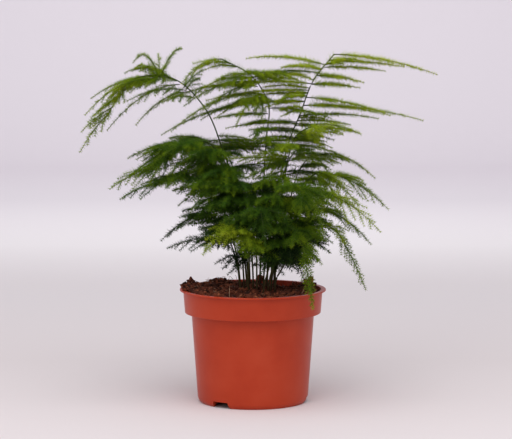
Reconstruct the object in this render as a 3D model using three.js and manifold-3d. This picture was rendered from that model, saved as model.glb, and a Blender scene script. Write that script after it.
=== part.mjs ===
// A potted lace fern: a plastic nursery pot, its peat compost, and 21 wiry stems with flat
// sprays of thread-like leaves. Millimetres, +Z up, origin at the centre of the pot's base.
import * as THREE from "three";
import { mergeVertices } from "three/addons/utils/BufferGeometryUtils.js";
import Module from "manifold-3d";

const wasm = await Module();
wasm.setup();

// Driving dimensions of the pot
const POT_HEIGHT = 93;
const LIP_RADIUS = 60;
const LIP_THICKNESS = 1.8;
const COLLAR_TOP_RADIUS = 57.2;
const COLLAR_BOTTOM_RADIUS = 55.8;
const COLLAR_BOTTOM = 73.6;
const BODY_TOP_RADIUS = 50.4;
const BODY_BOTTOM_RADIUS = 45.4;
const FOOT_RADIUS = 43.4;
const FOOT_ROUNDING = 4;
const FLOOR_HEIGHT = 3;
const CENTRE_PAD_RADIUS = 15;
const WALL = 1.3;
const POT_SIDES = 36;
const NOTCHES = 3;
const NOTCH_ANGLE = -125.8;
const NOTCH_HEIGHT = 5;
const NOTCH_WIDTH = 17;
const NOTCH_DEPTH = 10;

// Driving dimensions of the compost
const FIT_GAP = 0.35;
const SOIL_LEVEL = 91.2;
const SOIL_SLOPE = 0.03;
const SOIL_RINGS = 7;
const SOIL_SIDES = 26;
const ROOT_DEPTH = 72;
const STRAIGHT_TOP = 99;
const HOLE_RADIUS = 1.5;
const HOLE_SIDES = 5;
// Heaps and hollows of the compost: x, y, height, radius
const HEAPS = [
  [-50, 14, 3.2, 6],
  [-52, 0, 2.4, 7],
  [-30, 41, 3.2, 9],
  [-38, -24, 2, 11],
  [-12, -36, 1, 10],
  [5, 0, 1.5, 20],
  [26, 38, -2, 14],
  [46, 13, 8, 8],
  [30, -30, 1, 10],
];

// Driving dimensions of the plant
const STEM_RADIUS = 0.95;
const STEM_TIP_RADIUS = 0.7;
const STEM_SIDES = 4;
const STEM_STEPS = 8;
const BLADE_THICKNESS = 0.7;
const RIB_ROOT_HALF_WIDTH = 0.25;
const RIB_HALF_WIDTH = 0.65;
const RIB_TIP_HALF_WIDTH = 0.3;
const TWIG_PITCH = 15.5;
const TWIG_SHARE = 0.36;
const TWIG_LONGEST = 19;
const TWIG_HANGING = 8;
const HANGING_FALL = 1.3;
const TWIG_ANGLE = 46;
const TWIG_DROOP = 0.24;
const TWIG_TAPER = 0.85;
const SPRAY_RISE = 0.1;
const SPRAY_FOLLOW = 0.5;
const SPRAY_SAG = 0.3;
const SPRAY_TILT = 28;
const TILT_TURNS_AT = 14;
const TILT_TURNS_OVER = 20;
const PETIOLE_SHARE = 0.12;
const CLEARANCE = 0.3;
const MERGE_DISTANCE = 0.03;

// Each stem: its line from the soil to its top, the way its sprays face, how far they turn from
// that way at the bottom and at the top, where they begin, how many there are, the longest one,
// the spray that ends the stem as length, rise and sag, and any further sprays as place along
// the stem, azimuth, length, rise and sag. Where a stem's sprays lie flatter than the others, it
// has its own tilt in degrees, and where they are slimmer, its own longest twig in twigs.
const STEMS = [
  {
    name: "stem_left_high",
    via: [[-2.6, 4.3, 0], [-5.6, 4, 125], [-13, 5, 170], [-25, 4, 208], [-39, 3, 241], [-57, 0, 259],
      [-72, -4, 269], [-92, -9, 268], [-108, -14, 253], [-118, -18, 236]],
    face: 190, spread: [24, 28], from: 0.7, sprays: 7, reach: 56, tip: [34, -0.9, 0.4],
    twigs: 9,
    more: [[0.79, 176, 44, 2.9, 2.3], [0.79, 8, 44, 2.9, 1.6], [0.71, 40, 32, 1.1, 0.5],
      [0.725, 188, 62, 0, 0.62], [0.84, 190, 50, -0.05, 0.55], [0.76, 160, 44, 0.8, 0.7],
      [0.52, -4, 42, 0.1, 0.15]],
  },
  {
    name: "stem_right_high",
    via: [[10.9, 3.2, 0], [12.9, 4, 125], [19, 6, 165], [26, 7, 200], [33, 7, 225], [39, 5, 237],
      [45, 3, 254], [50, 2, 265], [57, 0, 278], [66, -1, 285]],
    face: -90, spread: [80, 60], from: 0.62, sprays: 3, reach: 52, tip: [85, -0.02, 0.17],
    tilt: 4, twigs: 12,
    more: [[0.78, -6, 98, 0.04, 0.16], [0.865, 176, 72, 0.14, 0.22], [0.795, 188, 60, 0.06, 0.12],
      [0.9, -16, 40, 0.02, 0.15], [0.94, -4, 50, 0.06, 0.12], [0.95, 176, 66, 0.32, 0.24],
      [0.715, 178, 58, 0.06, 0.15], [0.7, 10, 54, 0.02, 0.14], [0.865, -8, 40, 0.04, 0.12],
      [0.88, 165, 34, 0.5, 0.5], [0.625, 184, 66, 0.08, 0.15], [0.72, 16, 46, 0.06, 0.15]],
  },
  {
    name: "stem_centre_top",
    via: [[5, 5.4, 0], [6.8, 8, 130], [9, 10, 180], [11, 11, 215], [13, 11, 240], [10, 9, 254],
      [0, 6, 266], [-12, 2, 276], [-25, -1, 281]],
    face: 185, spread: [78, 40], from: 0.66, sprays: 4, reach: 56, tip: [35, 0.1, 0.67],
    tilt: 10, twigs: 14,
    more: [[0.8, 198, 78, 0.1, 0.48], [0.76, 182, 88, 0.04, 0.34], [0.72, 208, 50, 0.1, 0.15],
      [0.85, 210, 60, 0.05, 0.45], [0.83, 178, 74, 0.2, 0.36], [0.8, -112, 54, 0, 0.4],
      [0.84, -72, 50, 0.05, 0.4], [0.74, -18, 56, 0.05, 0.2], [0.66, 6, 56, 0.05, 0.2],
      [0.87, 4, 64, 0.28, 0.28], [0.89, -34, 52, 0.2, 0.3], [0.6, 176, 68, 0.06, 0.12],
      [0.62, -10, 50, 0.1, 0.15]],
  },
  {
    name: "stem_right_lean",
    via: [[15.1, 0, 0], [16.4, -1, 130], [25, -3, 177], [31, -5, 210], [40, -8, 224], [52, -13, 229]],
    face: -40, spread: [95, 40], from: 0.6, sprays: 6, reach: 60, tip: [38, 0.05, 0.25],
    tilt: 14,
    more: [[0.76, 188, 56, 0.1, 0.1]],
  },
  {
    name: "stem_right_arch",
    via: [[16.8, 8.6, 0], [19.6, 12, 130], [31, 17, 166], [39, 21, 190], [50, 22, 201], [61, 20, 203]],
    face: 10, spread: [80, 35], from: 0.6, sprays: 4, reach: 44, tip: [42, -0.02, 0.5],
    twigs: 10,
    more: [[0.7, 172, 56, 0.2, 0.2]],
  },
  {
    name: "stem_right_middle",
    via: [[17.6, -5.4, 0], [19.8, -5, 118], [33, -5, 158], [44, -6, 182], [56, -8, 190], [69, -10, 187]],
    face: -8, spread: [78, 34], from: 0.5, sprays: 7, reach: 48, tip: [46, -0.3, 0.35],
    more: [[0.9, -38, 42, -0.25, 0.4]],
  },
  {
    name: "stem_right_front",
    via: [[13.4, -9.7, 0], [17.3, -13, 115], [27, -20, 150], [39, -28, 173], [51, -34, 179],
      [62, -39, 174]],
    face: -35, spread: [80, 35], from: 0.5, sprays: 7, reach: 50, tip: [48, -0.3, 0.35],
    more: [[0.72, 200, 46, 0.1, 0.4]],
  },
  {
    name: "stem_right_low",
    via: [[17.6, 3.2, 0], [19.6, 5, 110], [36, 8, 140], [48, 10, 156], [60, 9, 157]],
    face: 6, spread: [78, 34], from: 0.48, sprays: 6, reach: 44, tip: [42, -0.3, 0.45], more: [],
  },
  {
    name: "stem_right_droop",
    via: [[16.8, -13, 0], [18.6, -15, 100], [35, -20, 130], [48, -25, 145], [59, -27, 148],
      [68, -28, 143]],
    face: -20, spread: [69, 36], from: 0.46, sprays: 6, reach: 36, tip: [47, -1.5, 0.5],
    more: [],
  },
  {
    name: "stem_front_droop",
    via: [[10, -15.1, 0], [12.9, -18, 98], [20, -28, 128], [28, -42, 145], [35, -55, 146],
      [40, -65, 133]],
    face: -62, spread: [66, 30], from: 0.48, sprays: 5, reach: 40, tip: [46, -2.4, 0.3], more: [],
  },
  {
    name: "stem_left_middle",
    via: [[-3.4, -2.2, 0], [-7.3, -4, 125], [-15, -6, 173], [-27, -9, 205], [-45, -13, 217],
      [-62, -17, 210], [-77, -21, 196]],
    face: 194, spread: [72, 32], from: 0.5, sprays: 10, reach: 68, tip: [42, -0.22, 0.25],
    more: [[0.52, 15, 54, 0.25, 0.3], [0.6, 155, 66, 0.15, 0.3], [0.68, 200, 64, 0.1, 0.35]],
  },
  {
    name: "stem_left_back",
    via: [[-5.9, 7.6, 0], [-10, 10, 130], [-20, 17, 175], [-34, 24, 208], [-50, 28, 216],
      [-67, 29, 206]],
    face: 171, spread: [78, 41], from: 0.52, sprays: 8, reach: 66, tip: [42, -0.4, 0.25],
    more: [[0.67, -2, 64, 0.3, 0.25], [0.76, 20, 60, 0.28, 0.25]],
  },
  {
    name: "stem_left_slant",
    via: [[-8.4, -5.4, 0], [-12.6, -9, 118], [-23, -15, 158], [-36, -21, 181], [-52, -25, 190],
      [-71, -28, 184]],
    face: 202, spread: [75, 34], from: 0.5, sprays: 8, reach: 52, tip: [38, -0.15, 0.25],
    more: [[0.55, 20, 48, 0.2, 0.3]],
  },
  {
    name: "stem_left_bright",
    via: [[-2.6, -10.8, 0], [-3.8, -18, 104], [-3, -30, 131], [-8, -41, 146], [-17, -48, 148]],
    face: 205, spread: [84, 38], from: 0.7, sprays: 7, reach: 42, tip: [32, -0.4, 0.3],
    more: [],
  },
  {
    name: "stem_left_low",
    via: [[-9.3, 3.2, 0], [-12.6, 5, 110], [-22, 8, 139], [-32, 10, 152], [-44, 11, 153]],
    face: 178, spread: [75, 34], from: 0.64, sprays: 7, reach: 38, tip: [36, -0.3, 0.4],
    more: [[0.64, 190, 52, 0.16, 0.3]],
  },
  {
    name: "stem_front_middle",
    via: [[3.3, -14, 0], [3.2, -19, 112], [3, -31, 142], [4, -47, 161], [6, -62, 164]],
    face: -88, spread: [80, 38], from: 0.54, sprays: 8, reach: 56, tip: [34, -0.4, 0.5], more: [],
  },
  {
    name: "stem_front_right",
    via: [[7.5, -7.6, 0], [10.3, -12, 120], [18, -24, 158], [27, -40, 180], [35, -54, 183],
      [42, -66, 176]],
    face: -62, spread: [80, 38], from: 0.48, sprays: 8, reach: 58, tip: [34, -0.5, 0.5],
    more: [[0.66, 185, 56, 0.1, 0.3]],
  },
  {
    name: "stem_inner_front",
    via: [[5.8, -18.4, 0], [8, -21, 92], [14, -28, 116], [22, -36, 130], [31, -43, 130]],
    face: -40, spread: [85, 40], from: 0.68, sprays: 6, reach: 30, tip: [26, -0.8, 0.4], more: [],
  },
  {
    name: "stem_inner_left",
    via: [[0.8, -8.6, 0], [-0.3, -10, 115], [-4, -15, 152], [-9, -22, 177], [-17, -30, 187],
      [-26, -36, 184]],
    face: 235, spread: [88, 38], from: 0.5, sprays: 9, reach: 52, tip: [34, -0.4, 0.4],
    more: [[0.3, 20, 30, 0.1, 0.4], [0.38, 165, 32, 0.1, 0.4]],
  },
  {
    name: "stem_back_left",
    via: [[-1.7, 16.2, 0], [-3.8, 22, 122], [-11, 36, 168], [-21, 54, 198], [-33, 70, 206],
      [-44, 84, 198]],
    face: 125, spread: [85, 34], from: 0.48, sprays: 8, reach: 54, tip: [34, -0.5, 0.4],
    more: [],
  },
  {
    name: "stem_back_right",
    via: [[10.9, 14, 0], [13.8, 22, 126], [22, 38, 170], [31, 54, 196], [41, 68, 204], [51, 80, 198]],
    face: 52, spread: [85, 34], from: 0.48, sprays: 8, reach: 54, tip: [34, -0.5, 0.4],
    more: [],
  },
];

const radians = (degrees) => (degrees * Math.PI) / 180;
const mix = (a, b, share) => a + (b - a) * share;
const UP = new THREE.Vector3(0, 0, 1);

// A repeatable stream of draws between 0 and 1.
function drawsFrom(seed) {
  let state = seed >>> 0;
  return () => {
    state = (Math.imul(state, 1664525) + 1013904223) >>> 0;
    return state / 4294967296;
  };
}

// A closed mesh, given as points and triangles, as a solid.
function solidOf(points, triangles) {
  const vertProperties = new Float32Array(points.flatMap((p) => [p.x, p.y, p.z]));
  const triVerts = new Uint32Array(triangles.flat());
  return new wasm.Manifold(new wasm.Mesh({ numProp: 3, vertProperties, triVerts }));
}

// A three.js geometry as a solid.
function solidOfGeometry(geometry) {
  const bare = geometry.clone();
  bare.deleteAttribute("normal");
  bare.deleteAttribute("uv");
  const merged = mergeVertices(bare, 1e-4);
  return new wasm.Manifold(
    new wasm.Mesh({
      numProp: 3,
      vertProperties: new Float32Array(merged.attributes.position.array),
      triVerts: new Uint32Array(merged.index.array),
    }),
  );
}

function meshOf(name, solid, material) {
  const { vertProperties, triVerts, numProp, numVert } = solid.getMesh();
  const positions = new Float32Array(numVert * 3);
  for (let i = 0; i < numVert; i++) {
    positions.set(vertProperties.subarray(i * numProp, i * numProp + 3), i * 3);
  }
  const geometry = new THREE.BufferGeometry();
  geometry.setAttribute("position", new THREE.BufferAttribute(positions, 3));
  geometry.setIndex(new THREE.BufferAttribute(new Uint32Array(triVerts), 1));
  geometry.computeVertexNormals();
  const mesh = new THREE.Mesh(geometry, material);
  mesh.name = name;
  return mesh;
}

// Turns a profile of [radius, height] pairs about +Z.
function lathe(profile, sides) {
  const points = [...profile, profile[0]].map(([r, z]) => new THREE.Vector2(r, z));
  return solidOfGeometry(new THREE.LatheGeometry(points, sides).rotateX(Math.PI / 2));
}

// The pot's inner radius at a height.
function innerRadius(z) {
  if (z < COLLAR_BOTTOM + WALL) {
    return mix(BODY_BOTTOM_RADIUS, BODY_TOP_RADIUS, z / COLLAR_BOTTOM) - WALL;
  }
  const share = (z - COLLAR_BOTTOM) / (POT_HEIGHT - COLLAR_BOTTOM);
  return mix(COLLAR_BOTTOM_RADIUS, COLLAR_TOP_RADIUS, share) - WALL;
}

// A wedge that cuts one notch through the foot and the edge of the floor.
function notchCutter() {
  const outline = new THREE.Shape([
    new THREE.Vector2(-NOTCH_WIDTH / 2, -1),
    new THREE.Vector2(NOTCH_WIDTH / 2, -1),
    new THREE.Vector2(NOTCH_WIDTH / 2 - 1.5, NOTCH_HEIGHT),
    new THREE.Vector2(-NOTCH_WIDTH / 2 + 1.5, NOTCH_HEIGHT),
  ]);
  const length = BODY_TOP_RADIUS - FOOT_RADIUS + NOTCH_DEPTH;
  const bar = new THREE.ExtrudeGeometry(outline, { depth: length, bevelEnabled: false });
  // The outline stands in the tangential plane, and the bar runs outwards along +X.
  bar.rotateX(Math.PI / 2).rotateZ(Math.PI / 2).translate(FOOT_RADIUS - NOTCH_DEPTH, 0, 0);
  return bar;
}

function makePot() {
  const floorTop = FLOOR_HEIGHT + WALL;
  const ledge = COLLAR_BOTTOM + WALL;
  let pot = lathe(
    [
      [0, 0],
      [CENTRE_PAD_RADIUS, 0],
      [CENTRE_PAD_RADIUS + 2, FLOOR_HEIGHT],
      [FOOT_RADIUS - 2.2, FLOOR_HEIGHT],
      [FOOT_RADIUS - 1.6, 0],
      [FOOT_RADIUS, 0],
      [BODY_BOTTOM_RADIUS - 0.6, FOOT_ROUNDING * 0.4],
      [BODY_BOTTOM_RADIUS, FOOT_ROUNDING],
      [BODY_TOP_RADIUS, COLLAR_BOTTOM],
      [COLLAR_BOTTOM_RADIUS, COLLAR_BOTTOM],
      [COLLAR_TOP_RADIUS, POT_HEIGHT - LIP_THICKNESS],
      [LIP_RADIUS, POT_HEIGHT - LIP_THICKNESS],
      [LIP_RADIUS, POT_HEIGHT - 0.5],
      [LIP_RADIUS - 0.6, POT_HEIGHT],
      [innerRadius(POT_HEIGHT), POT_HEIGHT],
      [innerRadius(ledge), ledge],
      [innerRadius(ledge - 0.01), ledge],
      [innerRadius(floorTop), floorTop + 2],
      [innerRadius(floorTop) - 2, floorTop],
      [0, floorTop],
    ],
    POT_SIDES,
  );
  for (let i = 0; i < NOTCHES; i++) {
    const turn = radians(NOTCH_ANGLE + (360 / NOTCHES) * i);
    pot = pot.subtract(solidOfGeometry(notchCutter().rotateZ(turn)));
  }
  return pot;
}

// Height of the compost's top at a place.
function soilHeight(x, y) {
  const slope = SOIL_LEVEL - SOIL_SLOPE * x - 0.02 * y;
  const crumbs = 0.9 * Math.sin(x * 0.31 + y * 0.12) * Math.sin(y * 0.27 - 1) +
    0.6 * Math.sin(x * 0.7 - y * 0.5);
  const heaped = HEAPS.reduce((sum, [hx, hy, height, radius]) => {
    const far = ((x - hx) ** 2 + (y - hy) ** 2) / radius ** 2;
    return sum + height * Math.exp(-far);
  }, 0);
  return slope + crumbs + heaped;
}

// The compost: a closed skin of rings, from the middle of the bottom to the middle of the top.
function makeSoil(stemLines) {
  const bottom = FLOOR_HEIGHT + WALL + FIT_GAP;
  const ledge = COLLAR_BOTTOM + WALL + FIT_GAP;
  const edge = innerRadius(SOIL_LEVEL) - FIT_GAP - 0.4;
  const rings = [
    [innerRadius(bottom) - 2 - FIT_GAP, () => bottom],
    [innerRadius(bottom + 3) - FIT_GAP - 0.2, () => bottom + 3],
    [innerRadius(ledge - WALL) - FIT_GAP - 0.2, () => ledge],
    [innerRadius(ledge + 1) - FIT_GAP - 0.2, () => ledge],
  ];
  for (let i = 0; i < SOIL_RINGS; i++) {
    const radius = edge * (1 - i / SOIL_RINGS);
    rings.push([radius, (x, y) => soilHeight(x, y) - (i === 0 ? 1 : 0)]);
  }
  const points = [new THREE.Vector3(0, 0, bottom)];
  for (const [radius, height] of rings) {
    for (let k = 0; k < SOIL_SIDES; k++) {
      const angle = (2 * Math.PI * k) / SOIL_SIDES;
      const [x, y] = [radius * Math.cos(angle), radius * Math.sin(angle)];
      points.push(new THREE.Vector3(x, y, height(x, y)));
    }
  }
  points.push(new THREE.Vector3(0, 0, soilHeight(0, 0)));
  const triangles = [];
  const at = (ring, k) => 1 + ring * SOIL_SIDES + (k % SOIL_SIDES);
  for (let k = 0; k < SOIL_SIDES; k++) {
    triangles.push([0, at(0, k + 1), at(0, k)]);
    triangles.push([points.length - 1, at(rings.length - 1, k), at(rings.length - 1, k + 1)]);
    for (let ring = 0; ring < rings.length - 1; ring++) {
      triangles.push([at(ring, k), at(ring, k + 1), at(ring + 1, k + 1)]);
      triangles.push([at(ring, k), at(ring + 1, k + 1), at(ring + 1, k)]);
    }
  }
  return solidOf(points, triangles).subtract(wasm.Manifold.union(stemLines.map(stemHole)));
}

// A plain hole round the first straight length of a stem's line, a little deeper than its foot.
function stemHole(line) {
  const { v1: foot, v2: end } = line.curves[0];
  const along = end.clone().sub(foot).normalize();
  const low = foot.clone().addScaledVector(along, -FIT_GAP);
  const high = end.clone().addScaledVector(along, 3);
  return rodThrough([low, high], HOLE_RADIUS, HOLE_RADIUS, HOLE_SIDES);
}

// A tapered rod with flat ends through the given centres.
function rodThrough(centres, startRadius, endRadius, sides) {
  const points = [];
  const triangles = [];
  const last = centres.length - 1;
  centres.forEach((centre, i) => {
    const before = centres[Math.max(i - 1, 0)];
    const after = centres[Math.min(i + 1, last)];
    const along = after.clone().sub(before).normalize();
    const side = new THREE.Vector3(1, 0, 0).cross(along).normalize();
    const other = along.clone().cross(side);
    const radius = mix(startRadius, endRadius, i / last);
    for (let k = 0; k < sides; k++) {
      const angle = (2 * Math.PI * (k + 0.5)) / sides;
      points.push(
        centre.clone()
          .addScaledVector(side, radius * Math.cos(angle))
          .addScaledVector(other, radius * Math.sin(angle)),
      );
    }
  });
  for (let i = 0; i < last; i++) {
    for (let k = 0; k < sides; k++) {
      const [a, b] = [i * sides + k, i * sides + ((k + 1) % sides)];
      triangles.push([a, b, b + sides], [a, b + sides, a + sides]);
    }
  }
  for (let k = 1; k < sides - 1; k++) {
    triangles.push([0, k + 1, k], [last * sides, last * sides + k, last * sides + k + 1]);
  }
  return solidOf(points, triangles);
}

// A stem's line in STEM_STEPS straight lengths, the first of which stands in the compost.
function stemLine(stem) {
  const [root, ...rest] = stem.via;
  const start = new THREE.Vector3(root[0], root[1], ROOT_DEPTH);
  const points = [start, ...rest.map((p) => new THREE.Vector3(...p))];
  const curve = new THREE.CatmullRomCurve3(points, false, "catmullrom", 0.5);
  let clear = 0;
  while (curve.getPointAt(clear).z < STRAIGHT_TOP) clear += 0.005;
  const shares = [0];
  for (let i = 0; i < STEM_STEPS; i++) shares.push(mix(clear, 1, i / (STEM_STEPS - 1)));
  const line = new THREE.CurvePath();
  for (let i = 0; i < STEM_STEPS; i++) {
    const ends = [shares[i], shares[i + 1]].map((share) => curve.getPointAt(share));
    line.add(new THREE.LineCurve3(...ends));
  }
  return line;
}

// The line of one spray: a flat curve that rises a little from the stem and then sags.
function sprayLine(origin, azimuth, length, rise, sag) {
  const heading = new THREE.Vector3(Math.cos(radians(azimuth)), Math.sin(radians(azimuth)), 0);
  const flat = length / Math.hypot(1, rise - sag / 2);
  return (share) =>
    origin.clone()
      .addScaledVector(heading, flat * share)
      .addScaledVector(UP, flat * share * (rise - sag * share));
}

// Every spray of a stem, as the rule and the list of further sprays give them.
function spraysOf(stem, curve, seed) {
  const draw = drawsFrom(seed);
  const sprays = [];
  for (const [place, azimuth, length, rise, sag] of stem.more) {
    sprays.push({ place, azimuth, length, rise, sag });
  }
  for (let i = 0; i < stem.sprays; i++) {
    const share = i / Math.max(stem.sprays - 1, 1);
    const side = i % 2 === 0 ? 1 : -1;
    const place = mix(stem.from, 0.97, share);
    const way = curve.getTangent(place);
    // A spray leaves level where the stem climbs, and dips with it where it hangs.
    const slope = Math.max(-1, Math.min(0.2, way.z / Math.hypot(way.x, way.y)));
    sprays.push({
      place,
      azimuth: stem.face + side * (mix(stem.spread[0], stem.spread[1], share) + 16 * (draw() - 0.5)),
      length: stem.reach * (1 - 0.45 * share) * (0.85 + 0.3 * draw()),
      rise: SPRAY_RISE + SPRAY_FOLLOW * slope + 0.16 * (draw() - 0.5),
      sag: SPRAY_SAG + 0.2 * (draw() - 0.5),
    });
  }
  const heading = curve.getTangent(0.999);
  const azimuth = (Math.atan2(heading.y, heading.x) * 180) / Math.PI;
  const [length, rise, sag] = stem.tip;
  sprays.push({ place: 1, azimuth, length, rise, sag });
  return sprays;
}

const SAMPLE_STEP = 2;

// Points along a line, about SAMPLE_STEP apart.
function samplesOf(line, length) {
  const count = Math.max(4, Math.ceil(length / SAMPLE_STEP));
  return Array.from({ length: count + 1 }, (_, i) => line(i / count));
}

// Whether a line's points stay clear of the lines of every other stem.
function isClear(points, taken, owner, gap) {
  return taken.every(({ stem, points: others }) =>
    stem === owner || points.every((p) => others.every((q) => p.distanceToSquared(q) > gap * gap)),
  );
}

const SWINGS = [0, 6, -6, 12, -12, 18, -18, 25, -25];
const LINE_GAP = 3;

// Places every spray, swinging one that would meet another stem or its sprays.
function layOut() {
  const curves = STEMS.map(stemLine);
  const taken = curves.map((curve, i) => ({
    stem: i,
    points: samplesOf((share) => curve.getPoint(share), curve.getLength()),
  }));
  const plants = STEMS.map((stem, i) => ({ stem, curve: curves[i], sprays: [] }));
  plants.forEach((plant, i) => {
    for (const spray of spraysOf(plant.stem, plant.curve, i + 1)) {
      const origin = plant.curve.getPoint(spray.place);
      const fitting = SWINGS.map((swing) => {
        const rise = spray.rise + Math.abs(swing) * 0.004;
        return sprayLine(origin, spray.azimuth + swing, spray.length, rise, spray.sag);
      });
      const line = fitting.find((candidate) =>
        isClear(samplesOf(candidate, spray.length), taken, i, LINE_GAP));
      if (!line) continue;
      // A spray's nearer side hangs, so that it faces out from the middle of the plant.
      const outward = Math.max(-1, Math.min(1, (TILT_TURNS_AT - origin.y) / TILT_TURNS_OVER));
      const mostTilt = plant.stem.tilt ?? SPRAY_TILT;
      const hangs = spray.sag - spray.rise > HANGING_FALL;
      const longestTwig = Math.min(TWIG_SHARE * spray.length, plant.stem.twigs ?? TWIG_LONGEST);
      plant.sprays.push({
        line,
        length: spray.length,
        tilt: mostTilt * outward,
        droop: (TWIG_DROOP * mostTilt) / SPRAY_TILT,
        longestTwig: hangs ? TWIG_HANGING : longestTwig,
      });
      taken.push({ stem: i, points: samplesOf(line, spray.length) });
    }
  });
  return plants;
}

// A coarse grid of points that every other spray's twigs must stay clear of.
class Crowd {
  constructor(cell) {
    this.cell = cell;
    this.cells = new Map();
  }

  key(i, j, k) {
    return (i * 4096 + j) * 4096 + k;
  }

  add(point, radius, spray) {
    const [i, j, k] = [point.x, point.y, point.z].map((v) => Math.floor(v / this.cell) + 1024);
    const key = this.key(i, j, k);
    if (!this.cells.has(key)) this.cells.set(key, []);
    this.cells.get(key).push({ point, radius, spray });
  }

  meets(point, radius, spray) {
    const [i, j, k] = [point.x, point.y, point.z].map((v) => Math.floor(v / this.cell) + 1024);
    for (let a = i - 1; a <= i + 1; a++) {
      for (let b = j - 1; b <= j + 1; b++) {
        for (let c = k - 1; c <= k + 1; c++) {
          for (const other of this.cells.get(this.key(a, b, c)) ?? []) {
            if (other.spray === spray) continue;
            if (other.point.distanceTo(point) < other.radius + radius + CLEARANCE) return true;
          }
        }
      }
    }
    return false;
  }
}

// Points spread over a triangle, close enough that nothing thick passes between them.
function pointsOver(a, b, c) {
  const longest = Math.max(a.distanceTo(b), b.distanceTo(c), c.distanceTo(a));
  const count = Math.max(2, Math.ceil(longest));
  const points = [];
  for (let i = 0; i <= count; i++) {
    for (let j = 0; j <= count - i; j++) {
      points.push(
        a.clone().multiplyScalar(1 - (i + j) / count)
          .addScaledVector(b, i / count)
          .addScaledVector(c, j / count),
      );
    }
  }
  return points;
}

const TOOTH_RADIUS = 0.75;
const TOOTH_LENGTHS = [1, 0.75, 0.5, 0.3];

// One spray: a thin arched blade, cut to its rib into twigs on both sides.
function sprayBlade(spray, crowd, draw) {
  const { line, length, tilt, droop, longestTwig } = spray;
  const steps = Math.max(3, Math.round((length * (1 - PETIOLE_SHARE)) / TWIG_PITCH)) + 1;
  const shareAt = (k) => (k === 0 ? 0 : mix(PETIOLE_SHARE, 1, (k - 1) / (steps - 1)));
  const frameAt = (share) => {
    const along = line(share + 0.01).sub(line(share - 0.01)).normalize();
    const level = UP.clone().cross(along).normalize();
    const roll = radians(tilt * along.x);
    const side = level.clone().multiplyScalar(Math.cos(roll))
      .addScaledVector(along.clone().cross(level), Math.sin(roll));
    return { centre: line(share), along, side, normal: along.clone().cross(side) };
  };
  const top = [];
  const bottom = [];
  const put = (point, normal) => {
    top.push(point.clone().addScaledVector(normal, BLADE_THICKNESS / 2));
    bottom.push(point.clone().addScaledVector(normal, -BLADE_THICKNESS / 2));
    return top.length - 1;
  };
  const faces = [];
  const rim = { 1: [], "-1": [] };
  for (let k = 0; k < steps; k++) {
    const { centre, side, normal } = frameAt(shareAt(k));
    const half = k === 0 ? RIB_ROOT_HALF_WIDTH : mix(RIB_HALF_WIDTH, RIB_TIP_HALF_WIDTH, k / steps);
    for (const way of [1, -1]) {
      rim[way].push(put(centre.clone().addScaledVector(side, way * half), normal));
    }
  }
  const end = frameAt(1);
  const tip = put(end.centre, end.normal);
  const toothOn = (way, k) => {
    const share = (shareAt(k) + shareAt(Math.min(k + 1, steps))) / 2;
    const { centre, along, side, normal } = frameAt(share);
    const full = longestTwig * (1 - share) ** TWIG_TAPER * (0.8 + 0.4 * draw());
    const angle = radians(TWIG_ANGLE + 14 * (draw() - 0.5));
    const base = [top[rim[way][k]], top[rim[way][k + 1]]];
    for (const part of TOOTH_LENGTHS) {
      const reach = Math.max(full * part, 3);
      const point = centre.clone()
        .addScaledVector(along, reach * Math.cos(angle))
        .addScaledVector(side, way * reach * Math.sin(angle))
        .addScaledVector(normal, -droop * reach);
      const over = pointsOver(base[0], base[1], point);
      if (over.some((p) => crowd.meets(p, TOOTH_RADIUS, spray))) continue;
      over.forEach((p) => crowd.add(p, TOOTH_RADIUS, spray));
      return put(point, normal);
    }
    return null;
  };
  const outlines = { 1: [rim[1][0], rim[1][1]], "-1": [rim[-1][0], rim[-1][1]] };
  for (let k = 0; k < steps; k++) {
    const [r0, l0] = [rim[1][k], rim[-1][k]];
    if (k === steps - 1) {
      faces.push([l0, tip, r0]);
      continue;
    }
    const [r1, l1] = [rim[1][k + 1], rim[-1][k + 1]];
    faces.push([l0, l1, r0], [r0, l1, r1]);
    if (k === 0) continue;
    for (const way of [1, -1]) {
      const tooth = toothOn(way, k);
      const [from, to] = [rim[way][k], rim[way][k + 1]];
      if (tooth !== null) {
        faces.push(way === 1 ? [from, to, tooth] : [from, tooth, to]);
        outlines[way].push(tooth);
      }
      outlines[way].push(to);
    }
  }
  // The outline runs out along one side, round the tip and back along the other.
  const outline = [...outlines[-1], tip, ...outlines[1].reverse()];
  const count = top.length;
  const triangles = faces.map(([a, b, c]) => [a, c, b]);
  faces.forEach(([a, b, c]) => triangles.push([a + count, b + count, c + count]));
  outline.forEach((from, i) => {
    const to = outline[(i + 1) % outline.length];
    triangles.push([from, to, to + count], [from, to + count, from + count]);
  });
  const made = solidOf([...top, ...bottom], triangles);
  return made.volume() < 0 ? solidOf([...top, ...bottom], triangles.map(([a, b, c]) => [a, c, b]))
    : made;
}

// The stem's own rod, with its sprays fused on.
function makeStem({ stem, curve, sprays }, owner, crowd) {
  const draw = drawsFrom(101 + owner);
  const centres = [curve.getPoint(0), ...curve.curves.map((length) => length.v2)];
  const rod = rodThrough(centres, STEM_RADIUS, STEM_TIP_RADIUS, STEM_SIDES);
  const blades = sprays.map((spray) => sprayBlade(spray, crowd, draw));
  return wasm.Manifold.union([rod, ...blades]).simplify(MERGE_DISTANCE);
}

const potPlastic = new THREE.MeshStandardMaterial({ color: "#a63c28", roughness: 0.42 });
const compost = new THREE.MeshStandardMaterial({ color: "#2e1a12", roughness: 1 });
const foliage = new THREE.MeshStandardMaterial({ color: "#3f6a1c", roughness: 0.7 });

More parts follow.
